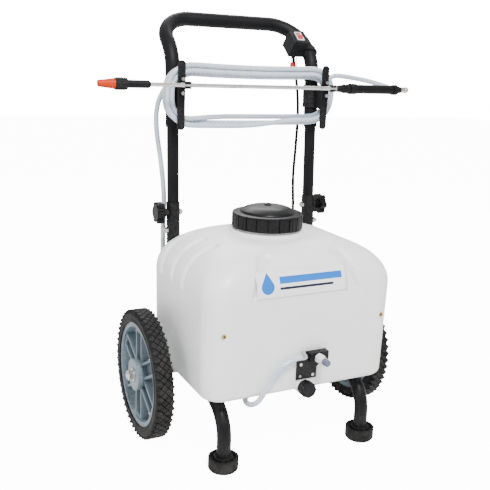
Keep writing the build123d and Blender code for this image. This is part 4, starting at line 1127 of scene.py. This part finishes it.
def coil_line(share):
    """Point and inward direction on the coil's outline, from the left end up and over to the right."""
    long_side = 2 * (coil_half_length - coil_corner)
    short_side = 2 * (coil_half_height - coil_corner)
    arc = coil_corner * pi / 2
    run = (share % 1.0) * (2 * long_side + 2 * short_side + 4 * arc)
    x, z = -coil_half_length, 0.0
    heading = radians(90)
    for length, turning in ((short_side / 2, 0), (arc, 1), (long_side, 0), (arc, 1), (short_side, 0),
                            (arc, 1),
                            (long_side, 0), (arc, 1), (short_side / 2, 0)):
        part = min(run, length)
        if turning:
            inward = Vector((sin(heading), 0, -cos(heading)))
            middle = Vector((x, 0, z)) + coil_corner * inward
            heading -= part / coil_corner
            inward = Vector((sin(heading), 0, -cos(heading)))
            x, z = (middle - coil_corner * inward)[0], (middle - coil_corner * inward)[2]
        else:
            x += part * cos(heading)
            z += part * sin(heading)
        run -= part
        if run <= 1e-9:
            break
    return Vector((x, 0, z)), Vector((sin(heading), 0, -cos(heading)))


def coil_points():
    """Turns of the coil on the two hooks: each turn keeps its place, then shifts to the next one."""
    places = (rear_inner, front_inner, front_outer, rear_outer)
    points = []
    total = int(coil_turns * coil_steps)
    for step in range(3, total + 1):
        wound = step / coil_steps
        turn = min(int(wound), 3)
        share = wound - turn
        now = places[turn]
        if turn < 3:
            moved = smooth_step((share - coil_shift_starts[turn]) / coil_shift_length)
            now = tuple(a + (b - a) * moved for a, b in zip(now, places[turn + 1]))
        outline, inward = coil_line(share)
        ends = inward.x ** 2
        sag = coil_sag * max(0.0, 1 - (outline.x / 0.165) ** 2)
        depth = now[0] * ends + now[1] * (1 - ends)
        point = outline + depth * inward
        lower = 0.3 if point.z < 0 else 1.0
        points.append(Vector((point.x, now[2], coil_middle_z + point.z - lower * sag)))
    return points


def nurbs_points(name, route, resolution=5):
    """Points on the smooth curve whose control points are the route."""
    curve = bpy.data.curves.new(name + "_line", "CURVE")
    curve.dimensions = "3D"
    spline = curve.splines.new("NURBS")
    spline.points.add(len(route) - 1)
    for control, place_at in zip(spline.points, route):
        control.co = (place_at[0], place_at[1], place_at[2], 1.0)
    spline.order_u = 3
    spline.use_endpoint_u = True
    spline.resolution_u = resolution
    holder = bpy.data.objects.new(name + "_line", curve)
    bpy.context.scene.collection.objects.link(holder)
    bpy.context.view_layer.update()
    mesh = bpy.data.meshes.new_from_object(holder.evaluated_get(bpy.context.evaluated_depsgraph_get()))
    points = [vertex.co.copy() for vertex in mesh.vertices]
    bpy.data.objects.remove(holder)
    bpy.data.curves.remove(curve)
    bpy.data.meshes.remove(mesh)
    return points


def make_cord(name, route, diameter, slot, nodes, between, sides=18):
    """Hose or cable as a mesh tube that rides on a body, or stays fixed in place, on no body, when it
    runs between two.
    """
    points = nurbs_points(name, route)
    piece = tube_mesh(name, points, diameter / 2, slot, sides)
    if nodes:
        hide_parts(*nodes)
    if len(between) == 1:
        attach(piece, between[0])
    else:
        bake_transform(piece)


coil = coil_points()
make_cord("hose_line", riser_route + coil, hose_diameter, "hose_pvc", ("hose_riser", "hose_coil"),
          ("cart", "handle", (-0.2, 0.16, 0.20), (-0.2, 0.16, 0.70)))
make_cord("tail_line", [coil[-1], coil[-1] + 0.9 * (coil[-1] - coil[-2])] + tail_route, hose_diameter,
          "hose_pvc",
          ("hose_tail",), ("handle", "lance", (0.24, 0.107, 0.847), (0.39, 0.105, 0.82)))
make_cord("front_line", front_hose_route, hose_diameter, "hose_pvc", ("front_hose",), ("cart",))
make_cord("cable_line", cable_route, cable_diameter, "cable_jacket", ("power_cable",),
          ("cart", "handle", (0.16, 0.16, 0.30), (0.16, 0.16, 0.70)), 14)


def relief(name, start, end, wide, narrow, body):
    """Tapered, ringed sleeve around a cable or hose where it leaves its housing."""
    start, end = Vector(start), Vector(end)
    along = (end - start).normalized()
    length = (end - start).length
    profile = []
    rings = 6
    for ring in range(rings):
        share = ring / rings
        size = wide + (narrow - wide) * share
        profile += [(size, length * share), (size, length * (share + 0.55 / rings)),
                    (size * 0.86, length * (share + 0.62 / rings)),
                    (size * 0.86, length * (share + 0.95 / rings))]
    profile = [(0.00005, 0.0)] + profile + [(0.00005, length)]
    piece = lathe(name, profile, "black_plastic", 24, 40)
    turn = Vector((0, 0, 1)).rotation_difference(along).to_matrix().to_4x4()
    piece.data.transform(Matrix.Translation(start) @ turn)
    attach(piece, body)


relief("switch_cable_relief", cable_route[0], Vector(cable_route[0]).lerp(Vector(cable_route[1]), 1.15),
       0.0064, 0.0046, "handle")
relief("plug_cable_relief", cable_route[-1], cable_route[-2], 0.0064, 0.0046, "cart")


def make_wires():
    """Blue and brown leads from the switch box into the cable's sleeve, and a red connector tab."""
    wire_finish = {
        "blue": finish("blue_lead", (0.015, 0.09, 0.42), (0.02, 0.12, 0.5), 0.3, 0.45, drift=80.0),
        "brown": finish("brown_lead", (0.16, 0.06, 0.03), (0.2, 0.08, 0.04), 0.3, 0.45, drift=80.0),
        "red": finish("red_connector", (0.62, 0.012, 0.015), (0.5, 0.01, 0.012), 0.28, 0.45, drift=80.0),
    }
    routes = {
        "blue": [(0.167, 0.1765, 0.906), (0.1672, 0.185, 0.896), (0.1672, 0.190, 0.884),
                 (0.1672, 0.186, 0.868),
                 (0.1672, 0.181, 0.852)],
        "brown": [(0.150, 0.1765, 0.906), (0.1512, 0.186, 0.896), (0.1538, 0.191, 0.884),
                  (0.1552, 0.187, 0.868),
                  (0.1572, 0.181, 0.852)],
    }
    for colour, route in routes.items():
        points = nurbs_points(colour + "_lead", route)
        lead = tube_mesh(colour + "_lead", points, 0.0011, None, 10)
        lead.data.materials.append(wire_finish[colour])
        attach(lead, "handle")
    low = Vector((0.1485, 0.1795, 0.858))
    tab = box_piece("red_connector", low, low + Vector((0.0095, 0.009, 0.017)))
    tab.data.materials.append(wire_finish["red"])
    edges = tab.modifiers.new("edges", "BEVEL")
    edges.width = 0.0015
    edges.segments = 3
    settle(tab)
    soften(tab.data, 40)
    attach(tab, "handle")


make_wires()


# ================================================================ floor, light and camera


def area_light(name, place_at, aim, size, power):
    lamp = bpy.data.lights.new(name, "AREA")
    lamp.shape = "RECTANGLE"
    lamp.size, lamp.size_y = size
    lamp.energy = power
    holder = bpy.data.objects.new(name, lamp)
    holder.location = place_at
    holder.rotation_euler = (Vector(aim) - Vector(place_at)).to_track_quat("-Z", "Y").to_euler()
    bpy.context.scene.collection.objects.link(holder)


def make_floor():
    """Pale floor that glows a little to the camera, so that it runs into the backdrop."""
    floor = new_piece("floor", [(-9, -9, 0), (9, -9, 0), (9, 9, 0), (-9, 9, 0)], [(0, 1, 2, 3)], None)
    paper = finish("pale_floor", (0.90, 0.90, 0.90), (0.88, 0.88, 0.885), 0.6, 0.75, drift=2.0)
    tree = paper.node_tree
    shader = tree.nodes["Principled BSDF"]
    shader.inputs["Emission Color"].default_value = (1.0, 1.0, 1.0, 1.0)
    ray = tree.nodes.new("ShaderNodeLightPath")
    tree.links.new(math(tree, "MULTIPLY", ray.outputs["Is Camera Ray"], 12.0),
                   shader.inputs["Emission Strength"])
    floor.data.materials.append(paper)


def make_world(light, backdrop):
    """White surroundings: one strength for the light, another for what the camera sees."""
    world = bpy.data.worlds.new("studio")
    world.use_nodes = True
    tree = world.node_tree
    sky = tree.nodes["Background"]
    sky.inputs["Color"].default_value = (1.0, 1.0, 1.0, 1.0)
    ray = tree.nodes.new("ShaderNodeLightPath")
    tree.links.new(remap(tree, ray.outputs["Is Camera Ray"], 0.0, 1.0, light, backdrop),
                   sky.inputs["Strength"])
    bpy.context.scene.world = world


def make_camera(place_at, yaw, pitch, roll, focal_length):
    """Camera at a place, turned by its three angles."""
    yaw, pitch, roll = radians(yaw), radians(pitch), radians(roll)
    ahead = Vector((-sin(yaw) * cos(pitch), cos(yaw) * cos(pitch), -sin(pitch)))
    right = ahead.cross(Vector((0, 0, 1))).normalized()
    up = right.cross(ahead)
    across = cos(roll) * right + sin(roll) * up
    above = -sin(roll) * right + cos(roll) * up
    lens = bpy.data.cameras.new("camera")
    lens.lens = focal_length
    lens.sensor_width = 36.0
    camera = bpy.data.objects.new("camera", lens)
    turned = Matrix((across, above, -ahead)).transposed().to_4x4()
    camera.matrix_world = Matrix.Translation(place_at) @ turned
    bpy.context.scene.collection.objects.link(camera)
    bpy.context.scene.camera = camera


make_floor()
make_world(0.98, 16.0)
area_light("key", (-0.5, -1.9, 2.9), (0, 0, 0.4), (0.8, 0.6), 168)
area_light("fill", (-2.6, -0.6, 1.3), (0, 0, 0.4), (1.4, 1.4), 14)
area_light("rear", (0.9, 2.0, 2.4), (0, 0, 0.5), (1.8, 1.2), 60)
make_camera((-0.8255, -1.4891, 0.8767), -27.325, 14.138, 2.376, 54.04)
